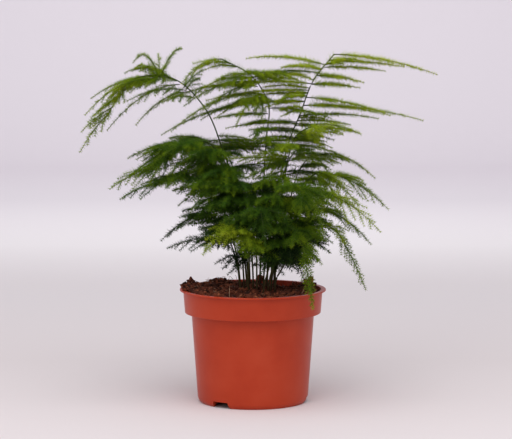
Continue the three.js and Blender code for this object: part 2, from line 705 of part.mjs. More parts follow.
const fern = new THREE.Group();
fern.name = "potted_lace_fern";
const plants = layOut();
const crowd = new Crowd(3);
plants.forEach(({ curve, sprays }) => {
  for (const point of samplesOf((share) => curve.getPoint(share), curve.getLength() * 2)) {
    crowd.add(point, STEM_RADIUS);
  }
  for (const spray of sprays) {
    for (const point of samplesOf(spray.line, spray.length * 2)) {
      crowd.add(point, RIB_HALF_WIDTH, spray);
    }
  }
});
fern.add(meshOf("pot", makePot(), potPlastic));
fern.add(meshOf("soil", makeSoil(plants.map((plant) => plant.curve)), compost));
plants.forEach((plant, owner) => {
  fern.add(meshOf(plant.stem.name, makeStem(plant, owner, crowd), foliage));
});

export default fern;
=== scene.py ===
import math

import bmesh
import bpy
import numpy as np
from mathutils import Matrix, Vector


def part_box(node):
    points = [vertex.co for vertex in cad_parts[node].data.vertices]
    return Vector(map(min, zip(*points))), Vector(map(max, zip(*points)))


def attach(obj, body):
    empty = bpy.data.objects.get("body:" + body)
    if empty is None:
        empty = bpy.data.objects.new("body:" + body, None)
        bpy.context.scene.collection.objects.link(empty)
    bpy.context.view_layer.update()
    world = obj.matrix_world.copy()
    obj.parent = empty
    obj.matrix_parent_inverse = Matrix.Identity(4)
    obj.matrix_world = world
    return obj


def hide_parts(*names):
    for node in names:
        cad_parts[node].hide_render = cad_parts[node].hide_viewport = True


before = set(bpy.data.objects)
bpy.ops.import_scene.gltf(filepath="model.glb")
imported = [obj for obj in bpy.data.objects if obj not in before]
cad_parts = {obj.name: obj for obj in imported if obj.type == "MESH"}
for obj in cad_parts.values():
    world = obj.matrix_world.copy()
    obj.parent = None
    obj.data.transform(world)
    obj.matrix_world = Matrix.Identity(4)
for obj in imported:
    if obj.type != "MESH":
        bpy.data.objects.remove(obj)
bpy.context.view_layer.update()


# Pot: a 12 cm nursery pot, injection-moulded in one shot from terracotta-coloured polypropylene.
# The wide collar stiffens the thin wall, and three notches in the foot open into drain holes.
# Named sizes are in millimetres and angles in degrees, here and in every section.
MM = 0.001
POT_HIGH = np.array(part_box("pot")[1]) / MM
POT_HEIGHT = POT_HIGH[2]
LIP_RADIUS = POT_HIGH[0]
LIP_THICKNESS = 1.2
COLLAR_TOP_RADIUS = LIP_RADIUS - 2.8
COLLAR_BOTTOM_RADIUS = LIP_RADIUS - 4.2
COLLAR_BOTTOM = POT_HEIGHT - 19.4
BODY_TOP_RADIUS = LIP_RADIUS - 9.6
BODY_BOTTOM_RADIUS = LIP_RADIUS - 14.6
FOOT_RADIUS = LIP_RADIUS - 16.6
FOOT_WIDTH = 1.6
FLOOR_HEIGHT = 3
CENTRE_PAD_RADIUS = 15
WALL = 1.3
POT_SIDES = 160
ROUNDING_POINTS = 6
SHARP_FROM = 40
NOTCH_ANGLES = (-125.8, -5.8, 114.2)
NOTCH_HEIGHT = 5
NOTCH_WIDTH = 17
NOTCH_TAPER = 1.5
NOTCH_DEPTH = 10
PIGMENT_PATCH = 30
STREAK_GAP = 6
SPARK_GRAIN = 0.4


def inner_radius(z):
    """The pot's inner radius at a height, in millimetres."""
    if z < COLLAR_BOTTOM + WALL:
        return BODY_BOTTOM_RADIUS + (BODY_TOP_RADIUS - BODY_BOTTOM_RADIUS) * z / COLLAR_BOTTOM - WALL
    share = (z - COLLAR_BOTTOM) / (POT_HEIGHT - COLLAR_BOTTOM)
    return COLLAR_BOTTOM_RADIUS + (COLLAR_TOP_RADIUS - COLLAR_BOTTOM_RADIUS) * share - WALL


def rounded(corners):
    """The points of a profile, from corners given as radius, height and rounding."""
    points = []
    for i, (r, z, rounding) in enumerate(corners):
        corner = np.array([r, z])
        if rounding == 0:
            points.append(corner)
            continue
        before = np.array(corners[i - 1][:2]) - corner
        after = np.array(corners[(i + 1) % len(corners)][:2]) - corner
        start = corner + before / np.linalg.norm(before) * rounding
        end = corner + after / np.linalg.norm(after) * rounding
        for t in np.linspace(0, 1, ROUNDING_POINTS):
            points.append((1 - t) ** 2 * start + 2 * t * (1 - t) * corner + t * t * end)
    return np.array(points)


def mesh_object(name, points, faces):
    """A smooth-shaded mesh object from points in millimetres."""
    mesh = bpy.data.meshes.new(name)
    mesh.vertices.add(len(points))
    mesh.vertices.foreach_set("co", (np.asarray(points) * MM).astype(np.float32).ravel())
    faces = np.asarray(faces, dtype=np.int32)
    mesh.loops.add(faces.size)
    mesh.loops.foreach_set("vertex_index", faces.ravel())
    mesh.polygons.add(len(faces))
    mesh.polygons.foreach_set("loop_start", np.arange(len(faces), dtype=np.int32) * faces.shape[1])
    mesh.polygons.foreach_set("use_smooth", np.full(len(faces), True))
    mesh.update(calc_edges=True)
    mesh.validate()
    piece = bpy.data.objects.new(name, mesh)
    bpy.context.collection.objects.link(piece)
    return piece


def clean(mesh):
    """Joins points that lie in one place, and turns every face outward."""
    shape = bmesh.new()
    shape.from_mesh(mesh)
    bmesh.ops.remove_doubles(shape, verts=shape.verts, dist=1e-6)
    bmesh.ops.recalc_face_normals(shape, faces=shape.faces)
    shape.to_mesh(mesh)
    shape.free()


def ring(radius, z, sides):
    """Points evenly round the Z axis, all at one height or each at its own."""
    angles = 2 * np.pi * np.arange(sides) / sides
    return np.stack([radius * np.cos(angles), radius * np.sin(angles), np.full(sides, z)], 1)


def turned(name, profile, sides):
    """A solid of revolution: the profile turned once round the Z axis, and closed."""
    rings = [ring(radius, z, sides) for radius, z in profile]
    i = np.arange(len(profile))[:, None] * sides
    j = np.roll(np.arange(len(profile)), -1)[:, None] * sides
    k = np.arange(sides)[None, :]
    k2 = (k + 1) % sides
    faces = np.stack([i + k, i + k2, j + k2, j + k], 2).reshape(-1, 4)
    piece = mesh_object(name, np.concatenate(rings), faces)
    clean(piece.data)
    return piece


def notch_cutters():
    """Three wedges that cut the notches through the foot and the edge of the floor."""
    inner, outer = FOOT_RADIUS - NOTCH_DEPTH, BODY_TOP_RADIUS
    half_low, half_high = NOTCH_WIDTH / 2, NOTCH_WIDTH / 2 - NOTCH_TAPER
    section = [(-half_low, -1), (half_low, -1), (half_high, NOTCH_HEIGHT), (-half_high, NOTCH_HEIGHT)]
    corners = [(x, y, z) for x in (inner, outer) for y, z in section]
    sides = [(0, 1, 2, 3), (4, 7, 6, 5), (0, 4, 5, 1), (1, 5, 6, 2), (2, 6, 7, 3), (3, 7, 4, 0)]
    points, faces = [], []
    for angle in map(math.radians, NOTCH_ANGLES):
        faces += [[len(points) + k for k in side] for side in sides]
        points += [
            (x * math.cos(angle) - y * math.sin(angle), x * math.sin(angle) + y * math.cos(angle), z)
            for x, y, z in corners
        ]
    cutters = mesh_object("notch_cutters", points, faces)
    clean(cutters.data)
    return cutters


def linear(hex_colour):
    """An sRGB hex colour as the linear RGBA that Blender's sockets take."""
    parts = [int(hex_colour[i : i + 2], 16) / 255 for i in (1, 3, 5)]
    return (*[c / 12.92 if c <= 0.04045 else ((c + 0.055) / 1.055) ** 2.4 for c in parts], 1.0)


def add_node(tree, kind, settings=(), links=()):
    """Adds a node, with its settings by property or socket name, and links as socket to output."""
    node = tree.nodes.new(kind)
    for key, value in dict(settings).items():
        if isinstance(key, int) or key in node.inputs:
            node.inputs[key].default_value = value
        else:
            setattr(node, key, value)
    for key, output in dict(links).items():
        tree.links.new(output, node.inputs[key])
    return node


def ramp_of(tree, factor, stops):
    """A colour ramp over a factor, with stops given as position and hex colour."""
    ramp = add_node(tree, "ShaderNodeValToRGB", links={"Fac": factor})
    elements = ramp.color_ramp.elements
    while len(elements) < len(stops):
        elements.new(0.5)
    for element, (position, colour) in zip(elements, stops):
        element.position = position
        element.color = linear(colour)
    return ramp.outputs["Color"]


def new_material(name, sockets):
    """A material, its node tree, its shader with some sockets set, and the place on the object."""
    material = bpy.data.materials.new(name)
    material.use_nodes = True
    tree = material.node_tree
    surface = tree.nodes["Principled BSDF"]
    for socket, value in sockets.items():
        surface.inputs[socket].default_value = value
    return material, tree, surface, add_node(tree, "ShaderNodeTexCoord").outputs["Object"]


def moulded_polypropylene():
    """Moulded polypropylene: even colour, a satin skin with the mould's fine spark grain in it."""
    sockets = {"IOR": 1.49, "Specular IOR Level": 0.22}
    material, tree, surface, place = new_material("moulded_polypropylene", sockets)
    # The pigment is slightly uneven from patch to patch.
    noise = {"Scale": 1 / (PIGMENT_PATCH * MM), "Detail": 3.0}
    patches = add_node(tree, "ShaderNodeTexNoise", noise, {"Vector": place})
    reds = [(0.3, "#AC3518"), (0.5, "#B33A1C"), (0.72, "#B84124")]
    tree.links.new(ramp_of(tree, patches.outputs["Fac"], reds), surface.inputs["Base Color"])
    # Handling leaves faint duller streaks down the wall.
    stretch = add_node(tree, "ShaderNodeMapping", {"Scale": (1, 1, 0.15)}, {"Vector": place})
    noise = {"Scale": 1 / (STREAK_GAP * MM), "Detail": 2.0}
    streaks = add_node(tree, "ShaderNodeTexNoise", noise, {"Vector": stretch.outputs["Vector"]})
    rough = add_node(
        tree,
        "ShaderNodeMapRange",
        {"From Min": 0.3, "From Max": 0.7, "To Min": 0.34, "To Max": 0.42},
        {"Value": streaks.outputs["Fac"]},
    )
    tree.links.new(rough.outputs["Result"], surface.inputs["Roughness"])
    # The mould's spark grain breaks up the shine.
    noise = {"Scale": 1 / (SPARK_GRAIN * MM), "Detail": 2.0}
    grain = add_node(tree, "ShaderNodeTexNoise", noise, {"Vector": place})
    relief = {"Strength": 0.12, "Distance": 0.00004}
    bump = add_node(tree, "ShaderNodeBump", relief, {"Height": grain.outputs["Fac"]})
    tree.links.new(bump.outputs["Normal"], surface.inputs["Normal"])
    return material


ledge = COLLAR_BOTTOM + WALL
floor_top = FLOOR_HEIGHT + WALL
# From the middle of the underside out, up and back in: radius, height, rounding
profile = [
    (0, 0, 0),
    (CENTRE_PAD_RADIUS, 0, 0.5),
    (CENTRE_PAD_RADIUS + 2, FLOOR_HEIGHT, 0.5),
    (FOOT_RADIUS - FOOT_WIDTH - 0.6, FLOOR_HEIGHT, 0.4),
    (FOOT_RADIUS - FOOT_WIDTH, 0, 0.2),
    (FOOT_RADIUS, 0, 0.4),
    (BODY_BOTTOM_RADIUS, FLOOR_HEIGHT, 1.4),
    (BODY_TOP_RADIUS, COLLAR_BOTTOM, 0.6),
    (COLLAR_BOTTOM_RADIUS, COLLAR_BOTTOM, 0.5),
    (COLLAR_TOP_RADIUS, POT_HEIGHT - LIP_THICKNESS, 0.5),
    (LIP_RADIUS, POT_HEIGHT - LIP_THICKNESS, 0.4),
    (LIP_RADIUS, POT_HEIGHT, 0.5),
    (inner_radius(POT_HEIGHT), POT_HEIGHT, 0.5),
    (inner_radius(ledge), ledge, 0.6),
    (inner_radius(ledge - 0.01), ledge, 0.6),
    (inner_radius(floor_top), floor_top, 1.5),
    (0, floor_top, 0),
]
pot = turned("nursery_pot", rounded(profile), POT_SIDES)
cutters = notch_cutters()
cut = pot.modifiers.new("notches", "BOOLEAN")
cut.operation = "DIFFERENCE"
cut.solver = "EXACT"
cut.object = cutters
evaluated = pot.evaluated_get(bpy.context.evaluated_depsgraph_get())
cut_mesh = bpy.data.meshes.new_from_object(evaluated)
pot.modifiers.clear()
pot.data = cut_mesh
bpy.data.objects.remove(cutters)
pot.data.shade_smooth()
pot.data.set_sharp_from_angle(angle=math.radians(SHARP_FROM))
pot.data.materials.clear()
pot.data.materials.append(moulded_polypropylene())
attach(pot, "root")
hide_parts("pot")


# Compost: a plug of milled peat, pressed in when the plant was potted and since grown through.
# Its top is crumbly, heaped against the rim on the left, and stuck with root threads and bark.
SOIL_LEVEL = 91.2
SLOPE_RIGHT = 0.03
SLOPE_BACK = 0.02
SOIL_EDGE = inner_radius(SOIL_LEVEL) - 0.75
PLUG_SIDES = 220
PLUG_RINGS = 84
FLOOR_GAP = 0.35
WALL_GAP = 0.6
EDGE_DROP = 1.2
# Heaps and hollows: x, y, height, radius
HEAPS = [
    (-50, 14, 3.2, 6),
    (-52, 0, 2.4, 7),
    (-30, 41, 3.2, 9),
    (-38, -24, 2, 11),
    (-12, -36, 1, 10),
    (5, 0, 1.5, 20),
    (26, 38, -2, 14),
    (46, 13, 8, 8),
    (30, -30, 1, 10),
]
# Lumps on the top: width, height, seed
LUMPS = ((7, 2.2, 1), (3, 2.2, 2), (1.4, 1.5, 3))
LATTICE = 128
GRAIN_ROUGHNESS = 0.34
CRUMBS = 1900
LARGEST_CRUMB = 3.2
CLOD_HEAPS = ((-51, 6), (-53, -8), (-30, 41), (46, 13), (40, 26))
CLODS_ON_HEAP = 42
CLOD_REACH = 6
SPILL_ANGLES = (158, 200)
SPILL_CRUMBS = 110
CHIPS = 60
CHIPS_AT_LEFT = 7
CHIPS_BEHIND = 9
CHIP_TUMBLE = 0.25
THREADS = 560
THREADS_ON_HEAP = 34
THREADS_OVERHANGING = 9
THREAD_REACH = 7
THREAD_STEPS = 6
THREAD_LENGTH = (4, 15)
THREAD_RADIUS = (0.14, 0.3)
THREADS_STANDING = 0.2
OVERHANG = (-56, 4)
PEAT_GRAIN = 1
chance = np.random.default_rng(12)


def lumps(x, y, cell, seed):
    """Smooth random heights from 0 to 1 over a lattice of cells, in millimetres."""
    lattice = np.random.default_rng(seed).random((LATTICE, LATTICE))
    u, v = x / cell + LATTICE / 2, y / cell + LATTICE / 2
    i, j = np.floor(u).astype(int), np.floor(v).astype(int)
    fu, fv = u - i, v - j
    fu, fv = fu * fu * (3 - 2 * fu), fv * fv * (3 - 2 * fv)
    i2, j2 = (i + 1) % LATTICE, (j + 1) % LATTICE
    i, j = i % LATTICE, j % LATTICE
    low = lattice[i, j] * (1 - fu) + lattice[i2, j] * fu
    high = lattice[i, j2] * (1 - fu) + lattice[i2, j2] * fu
    return low * (1 - fv) + high * fv


def soil_height(x, y):
    """Height of the compost's top, as its solid has it: a slope, two sets of low waves, and heaps."""
    slope = SOIL_LEVEL - SLOPE_RIGHT * x - SLOPE_BACK * y
    waves = 0.9 * np.sin(x * 0.31 + y * 0.12) * np.sin(y * 0.27 - 1) + 0.6 * np.sin(x * 0.7 - y * 0.5)
    heaps = sum(h * np.exp(-((x - hx) ** 2 + (y - hy) ** 2) / r**2) for hx, hy, h, r in HEAPS)
    return slope + waves + heaps


def soil_top(x, y):
    """The crumbly top: the solid's height with LUMPS on it."""
    rough = sum(height * (lumps(x, y, width, seed) - 0.5) for width, height, seed in LUMPS)
    return soil_height(x, y) + rough


def plug():
    """The plug's skin, from the middle of the bottom up the wall and over the top."""
    bottom = floor_top + FLOOR_GAP
    upper = ledge + FLOOR_GAP
    wall = [
        (0.01, bottom),
        (inner_radius(bottom) - 4 * WALL_GAP, bottom),
        (inner_radius(bottom + 3) - WALL_GAP, bottom + 3),
        (inner_radius(upper - WALL) - WALL_GAP, upper),
        (inner_radius(upper + 1) - WALL_GAP, upper),
    ]
    rings = [ring(radius, z, PLUG_SIDES) for radius, z in wall]
    for radius in np.linspace(SOIL_EDGE, 0.05, PLUG_RINGS):
        level = ring(radius, 0, PLUG_SIDES)
        level[:, 2] = soil_top(level[:, 0], level[:, 1]) - (EDGE_DROP if radius == SOIL_EDGE else 0)
        rings.append(level)
    i, k = np.arange(len(rings) - 1)[:, None] * PLUG_SIDES, np.arange(PLUG_SIDES)[None, :]
    k2 = (k + 1) % PLUG_SIDES
    quads = np.stack([i + k, i + k2, i + PLUG_SIDES + k2, i + PLUG_SIDES + k], 2).reshape(-1, 4)
    return np.concatenate(rings), np.concatenate([quads[:, [0, 1, 2]], quads[:, [0, 2, 3]]])


def turns_at_random(count, tumble):
    """Random rotation matrices: any way up at a tumble of 1, and nearly upright at a low one."""
    yaw = chance.uniform(0, 2 * np.pi, count)
    tilt = chance.uniform(0, np.pi, count) * tumble
    c, s, ct, st = np.cos(yaw), np.sin(yaw), np.cos(tilt), np.sin(tilt)
    zero, one = np.zeros(count), np.ones(count)
    about_z = np.stack([c, -s, zero, s, c, zero, zero, zero, one], 1).reshape(-1, 3, 3)
    about_x = np.stack([one, zero, zero, zero, ct, -st, zero, st, ct], 1).reshape(-1, 3, 3)
    return about_z @ about_x


def places_on_soil(count):
    """Random places over the top of the compost."""
    radius = (SOIL_EDGE - 1.0) * np.sqrt(chance.random(count))
    angle = chance.uniform(0, 2 * np.pi, count)
    x, y = radius * np.cos(angle), radius * np.sin(angle)
    return np.stack([x, y, soil_top(x, y)], 1)


def places_near(x, y, reach, count):
    """Random places on the compost round one point."""
    spots = np.stack([chance.normal(x, reach, count), chance.normal(y, reach, count)], 1)
    far = np.hypot(spots[:, 0], spots[:, 1])
    spots *= np.minimum(1, (SOIL_EDGE - 1.5) / far)[:, None]
    return np.concatenate([spots, soil_top(spots[:, 0], spots[:, 1])[:, None]], 1)


def ball(level):
    """The points and triangles of a unit ball."""
    shape = bmesh.new()
    bmesh.ops.create_icosphere(shape, subdivisions=level, radius=1)
    points = np.array([v.co[:] for v in shape.verts])
    triangles = np.array([[v.index for v in f.verts] for f in shape.faces])
    shape.free()
    return points, triangles


def grains(level, sizes, tumble, places):
    """Many rough grains, one of each size at each place, and how many points each has."""
    points, triangles = ball(level)
    count = len(sizes)
    rough = 1 + chance.uniform(-GRAIN_ROUGHNESS, GRAIN_ROUGHNESS, (count, len(points), 1))
    shaped = points[None] * rough * sizes[:, None, :]
    shaped = np.einsum("nij,npj->npi", turns_at_random(count, tumble), shaped) + places[:, None, :]
    faces = triangles[None] + (np.arange(count) * len(points))[:, None, None]
    return shaped.reshape(-1, 3), faces.reshape(-1, 3), len(points)


def tubes(paths, radii, sides):
    """Thin tapered tubes along many paths that each have the same number of points."""
    count, steps, _ = paths.shape
    along = np.gradient(paths, axis=1)
    along /= np.linalg.norm(along, axis=2, keepdims=True) + 1e-9
    helper = np.where(np.abs(along[..., 2:3]) > 0.9, [1.0, 0, 0], [0, 0, 1.0])
    side = np.cross(along, helper)
    side /= np.linalg.norm(side, axis=2, keepdims=True) + 1e-9
    other = np.cross(along, side)
    angle = 2 * np.pi * np.arange(sides)[:, None] / sides
    around = np.cos(angle) * side[:, :, None] + np.sin(angle) * other[:, :, None]
    points = (paths[:, :, None] + around * radii[:, :, None, None]).reshape(-1, 3)
    start = (np.arange(count)[:, None, None] * steps + np.arange(steps - 1)[None, :, None]) * sides
    k = np.arange(sides)[None, None, :]
    k2 = (k + 1) % sides
    a, b, c, d = start + k, start + k2, start + sides + k2, start + sides + k
    faces = [np.stack(corners, 3).reshape(-1, 3) for corners in ([a, b, c], [a, c, d])]
    return points, np.concatenate(faces)


def threads(middle, edge):
    """Root threads and sphagnum strands: short arcs that lie on the crumbs, a few standing up."""
    count = len(middle)
    heading = chance.uniform(0, 2 * np.pi, count)
    length = chance.uniform(*THREAD_LENGTH, count)
    bend = chance.uniform(-0.5, 0.5, count) * length
    stands = chance.random(count) < THREADS_STANDING
    lift = np.where(stands, chance.uniform(1, 6, count), chance.uniform(0, 0.8, count))
    t = np.linspace(-0.5, 0.5, THREAD_STEPS)[None, :]
    forward = np.stack([np.cos(heading), np.sin(heading), np.zeros(count)], 1)
    sideways = np.stack([-np.sin(heading), np.cos(heading), np.zeros(count)], 1)
    paths = middle[:, None] + forward[:, None] * (length[:, None] * t)[..., None]
    paths += sideways[:, None] * (bend[:, None] * t * t)[..., None]
    far = np.hypot(paths[..., 0], paths[..., 1])
    shrink = np.minimum(1, edge / np.maximum(far, 1e-6))
    paths[..., :2] *= shrink[..., None]
    surface = soil_top(paths[..., 0], paths[..., 1])
    paths[..., 2] = surface + 0.3 + lift[:, None] * (t + 0.5)
    over_rim = np.hypot(paths[..., 0], paths[..., 1]) > SOIL_EDGE - 1
    paths[..., 2] = np.where(over_rim, np.maximum(paths[..., 2], POT_HEIGHT + 0.5), paths[..., 2])
    radii = chance.uniform(*THREAD_RADIUS, count)[:, None] * np.ones((1, THREAD_STEPS))
    radii[:, -1] *= 0.3
    return tubes(paths, radii, 3)


def milled_peat():
    """Milled peat: matt dark brown, from near black to rusty brown from grain to grain."""
    sockets = {"Roughness": 0.92, "Specular IOR Level": 0.25}
    material, tree, surface, place = new_material("milled_peat", sockets)
    tone = add_node(tree, "ShaderNodeAttribute", {"attribute_name": "tone"}).outputs["Fac"]
    # Single grains within a crumb are lighter or darker.
    noise = {"Scale": 1 / (PEAT_GRAIN * MM), "Detail": 4.0}
    specks = add_node(tree, "ShaderNodeTexNoise", noise, {"Vector": place})
    speckled = {"operation": "MULTIPLY_ADD", 1: 0.35}
    mixed = add_node(tree, "ShaderNodeMath", speckled, {0: specks.outputs["Fac"], 2: tone})
    browns = [(0.12, "#241008"), (0.4, "#462013"), (0.7, "#703722"), (0.95, "#96593C"), (1.0, "#B89A7E")]
    tree.links.new(ramp_of(tree, mixed.outputs["Value"], browns), surface.inputs["Base Color"])
    relief = {"Strength": 0.8, "Distance": 0.0004}
    bump = add_node(tree, "ShaderNodeBump", relief, {"Height": specks.outputs["Fac"]})
    tree.links.new(bump.outputs["Normal"], surface.inputs["Normal"])
    return material


def joined(name, parts):
    """One mesh object from several sets of points, triangles and tones."""
    offsets = np.cumsum([0] + [len(points) for points, _, _ in parts[:-1]])
    points = np.concatenate([p for p, _, _ in parts])
    faces = np.concatenate([f + offset for (_, f, _), offset in zip(parts, offsets)])
    piece = mesh_object(name, points, faces)
    tone = piece.data.attributes.new("tone", "FLOAT", "POINT")
    tone.data.foreach_set("value", np.concatenate([t for _, _, t in parts]).astype(np.float32))
    return piece


# The tones of the compost's parts run from 0, near black, to 1, the colour of straw.
plug_points, plug_faces = plug()
plug_tones = 0.15 + 0.3 * lumps(plug_points[:, 0], plug_points[:, 1], 2.5, 5)
soil_parts = [(plug_points, plug_faces, plug_tones)]

crumb_sizes = np.exp(chance.normal(0.05, 0.45, (CRUMBS, 1))) * chance.uniform(0.6, 1.15, (CRUMBS, 3))
crumb_sizes = np.minimum(crumb_sizes, LARGEST_CRUMB)
points, faces, each = grains(1, crumb_sizes, 1.0, places_on_soil(CRUMBS))
soil_parts.append((points, faces, np.repeat(chance.uniform(0, 0.75, CRUMBS), each)))

# Clods lie thick on the heaps by the rim.
clod_places = np.concatenate([places_near(x, y, CLOD_REACH, CLODS_ON_HEAP) for x, y in CLOD_HEAPS])
clod_places[:, 2] += chance.uniform(-0.5, 1.7, len(clod_places))
clod_sizes = chance.uniform(0.7, 2.4, (len(clod_places), 3))
points, faces, each = grains(1, clod_sizes, 1.0, clod_places)
soil_parts.append((points, faces, np.repeat(chance.uniform(0, 0.6, len(clod_places)), each)))

# At the left the compost spills up over the rim, in crumbs and splinters.
spill_angle = np.radians(chance.uniform(*SPILL_ANGLES, SPILL_CRUMBS))
spill_radius = chance.uniform(SOIL_EDGE - 3, LIP_RADIUS - 1.5, SPILL_CRUMBS)
x, y = spill_radius * np.cos(spill_angle), spill_radius * np.sin(spill_angle)
z = np.maximum(soil_top(x, y), POT_HEIGHT) + chance.uniform(0, 1.3, SPILL_CRUMBS)
spill_sizes = chance.uniform(0.5, 1.7, (SPILL_CRUMBS, 3)) * [1.4, 1, 0.8]
points, faces, each = grains(1, spill_sizes, 1.0, np.stack([x, y, z], 1))
soil_parts.append((points, faces, np.repeat(chance.uniform(0.05, 0.6, SPILL_CRUMBS), each)))

# Chips of bark are longer and flatter, and the first two stand up behind the stems and at the right.
chip_sizes = np.stack([chance.uniform(*size, CHIPS) for size in ((2, 4.5), (0.8, 1.8), (0.4, 0.9))], 1)
chip_places = np.concatenate(
    [
        places_on_soil(CHIPS - CHIPS_AT_LEFT - CHIPS_BEHIND),
        places_near(-50, 12, 4, CHIPS_AT_LEFT),
        places_near(-30, 41, 6, CHIPS_BEHIND),
    ]
)
chip_places += [0, 0, 0.8]
chip_places[:2] = [(6, 44, 95.5), (48, 13, 98.5)]
chip_sizes[:2] = [(3.6, 1.4, 4.0), (3.0, 1.4, 3.4)]
chip_tones = chance.uniform(0.1, 0.7, CHIPS)
chip_tones[:2] = 0.5, 0.72
points, faces, each = grains(2, chip_sizes, CHIP_TUMBLE, chip_places)
soil_parts.append((points, faces, np.repeat(chip_tones, each)))

thread_places = [places_near(x, y, THREAD_REACH, THREADS_ON_HEAP) for x, y in CLOD_HEAPS]
thread_places = np.concatenate([places_on_soil(THREADS)] + thread_places)
points, faces = threads(thread_places, SOIL_EDGE - 0.8)
each = len(points) // len(thread_places)
soil_parts.append((points, faces, np.repeat(chance.uniform(0.2, 0.85, len(thread_places)), each)))
# A few strands hang over the rim at the left.
points, faces = threads(places_near(*OVERHANG, 5, THREADS_OVERHANGING), LIP_RADIUS + 1.5)
soil_parts.append((points, faces, np.full(len(points), 0.55)))

soil = joined("peat_compost", soil_parts)
soil.data.materials.append(milled_peat())
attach(soil, "root")
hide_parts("soil")


# Lace fern: Asparagus setaceus, a clump of wiry stems. Each carries flat sprays of thread-like
# twigs, and the twigs carry tufts of needles, young ones yellow-green and old ones dark.
ROOT_DEPTH = 72
STRAIGHT_TOP = 99
STEM_STEPS = 8
CURVE_STEPS = 200
CLEAR_STEP = 0.005
SPRAYS_END = 0.97
TURN_SCATTER = 16
SPRAY_TAPER = 0.45
SPRAY_SHORTEST = 0.85
LENGTH_SCATTER = 0.3
SPRAY_RISE = 0.1
SPRAY_FOLLOW = 0.5
RISE_SCATTER = 0.16
SPRAY_SAG = 0.3
SAG_SCATTER = 0.2
LINE_GAP = 3
SAMPLE_STEP = 2
SWINGS = (0, 6, -6, 12, -12, 18, -18, 25, -25)
SWING_LIFT = 0.004

# From here on, what only this script uses: the finer sprays, the twigs and the needles.
LOW_SPRAY_HEIGHT = (118, 160)
LOW_SPRAY_LEAN = 10
LOW_SPRAY_LENGTH = (14, 30)
LOW_SPRAY_RISE = (0, 0.4)
LOW_SPRAY_SAG = 0.5
SLIM_BELOW = 20
SLIM_TURN = (8, 24)
SLIM_RISE = (-0.12, 0.1)
FINER_TURN = (16, 42)
FINER_RISE = (-0.3, 0.1)
FINER_LENGTH = (0.5, 0.85)
HANGING_FALL = 1.3
PETIOLE_SHARE = 0.05
SPRAY_TILT = 28
TILT_TURNS_AT = 14
TILT_TURNS_OVER = 20
TWIG_LONGEST = 27
TWIG_SHARE = 0.48
TWIG_SHORTEST = 2.5
TWIG_LENGTHS = (0.7, 1.2)
TWIG_SPACING = 10
TWIG_TAPER = 0.85
TWIG_ANGLE = 39
TWIG_ANGLE_SCATTER = 7
TWIG_BEND = 0.16
TWIG_CURL = 0.12
TWIG_DROOP = 0.16
TWIG_POINTS = 5
HANGING_TWIG = 9
HANGING_SPACING = 4
HANGING_TAPER = 0.55
HANGING_TUFTS = 0.8
STEM_RADII = (0.8, 0.4)
STEM_POINTS = 61
RIB_RADII = (0.42, 0.16)
RIB_POINTS = 16
TWIG_RADII = (0.24, 0.12)
LEAFY_FROM = 0.87
TUFT_SPACING = 2.1
# Real needles are only about 0.2 mm wide, and far more: these are as coarse as they need to show.
NEEDLES_IN_TUFT = 6
NEEDLE_LENGTH = 5
NEEDLE_LENGTHS = (0.75, 1.2)
NEEDLE_WIDTH = 0.5
NEEDLE_LEAN = (42, 82)
NEEDLE_SCATTER = 0.4

# Tones: 0 is an old leaf and 1 a young one, and -1 and below mark the canes. A painted shade lowers the
# tone of sprays low on a stem.
GREEN_CANE = -1
RIB_TONE = -1.2
CANE_BELOW = -0.9
BROWN_BELOW = 88
BROWN_FADES_OVER = 60
HANGING_TONE = 0.36
YOUTH_AT_FOOT = 0.3
# Painted shade: leaves on sprays low on a stem are darkened, the more the lower they sit, for the shade
# inside the clump.
PAINTED_SHADE = 0.22
PAINTED_SHADE_BELOW = 180
PAINTED_SHADE_OVER = 60
TIP_TONE = 0.12
LEAF_PATCH = 12

# Each stem, as its solid has it:
#   via: its line from the soil to its top
#   face, spread: the way its sprays face, and how far they turn from it at the bottom and the top
#   begin, sprays, reach: where they begin, how many there are, and the longest one
#   tip: the spray that ends the stem, as length, rise and sag
#   more: further sprays, as place along the stem, azimuth, length, rise and sag
# And what only this script uses:
#   youth: how young the leaves are, from 0 to 1
#   fullness: how many finer sprays grow between the solid's own, as a share of their number
#   low: how many short sprays grow low on the stem
#   tilt: how far the sprays tilt towards the eye
#   twigs: the longest twig
#   between: finer sprays given one by one, listed as the further ones are
STEMS = []


def stem(more=(), low=0, tilt=SPRAY_TILT, twigs=TWIG_LONGEST, between=(), **facts):
    """Adds a stem to the clump."""
    STEMS.append(dict(facts, more=more, low=low, tilt=tilt, twigs=twigs, between=between))


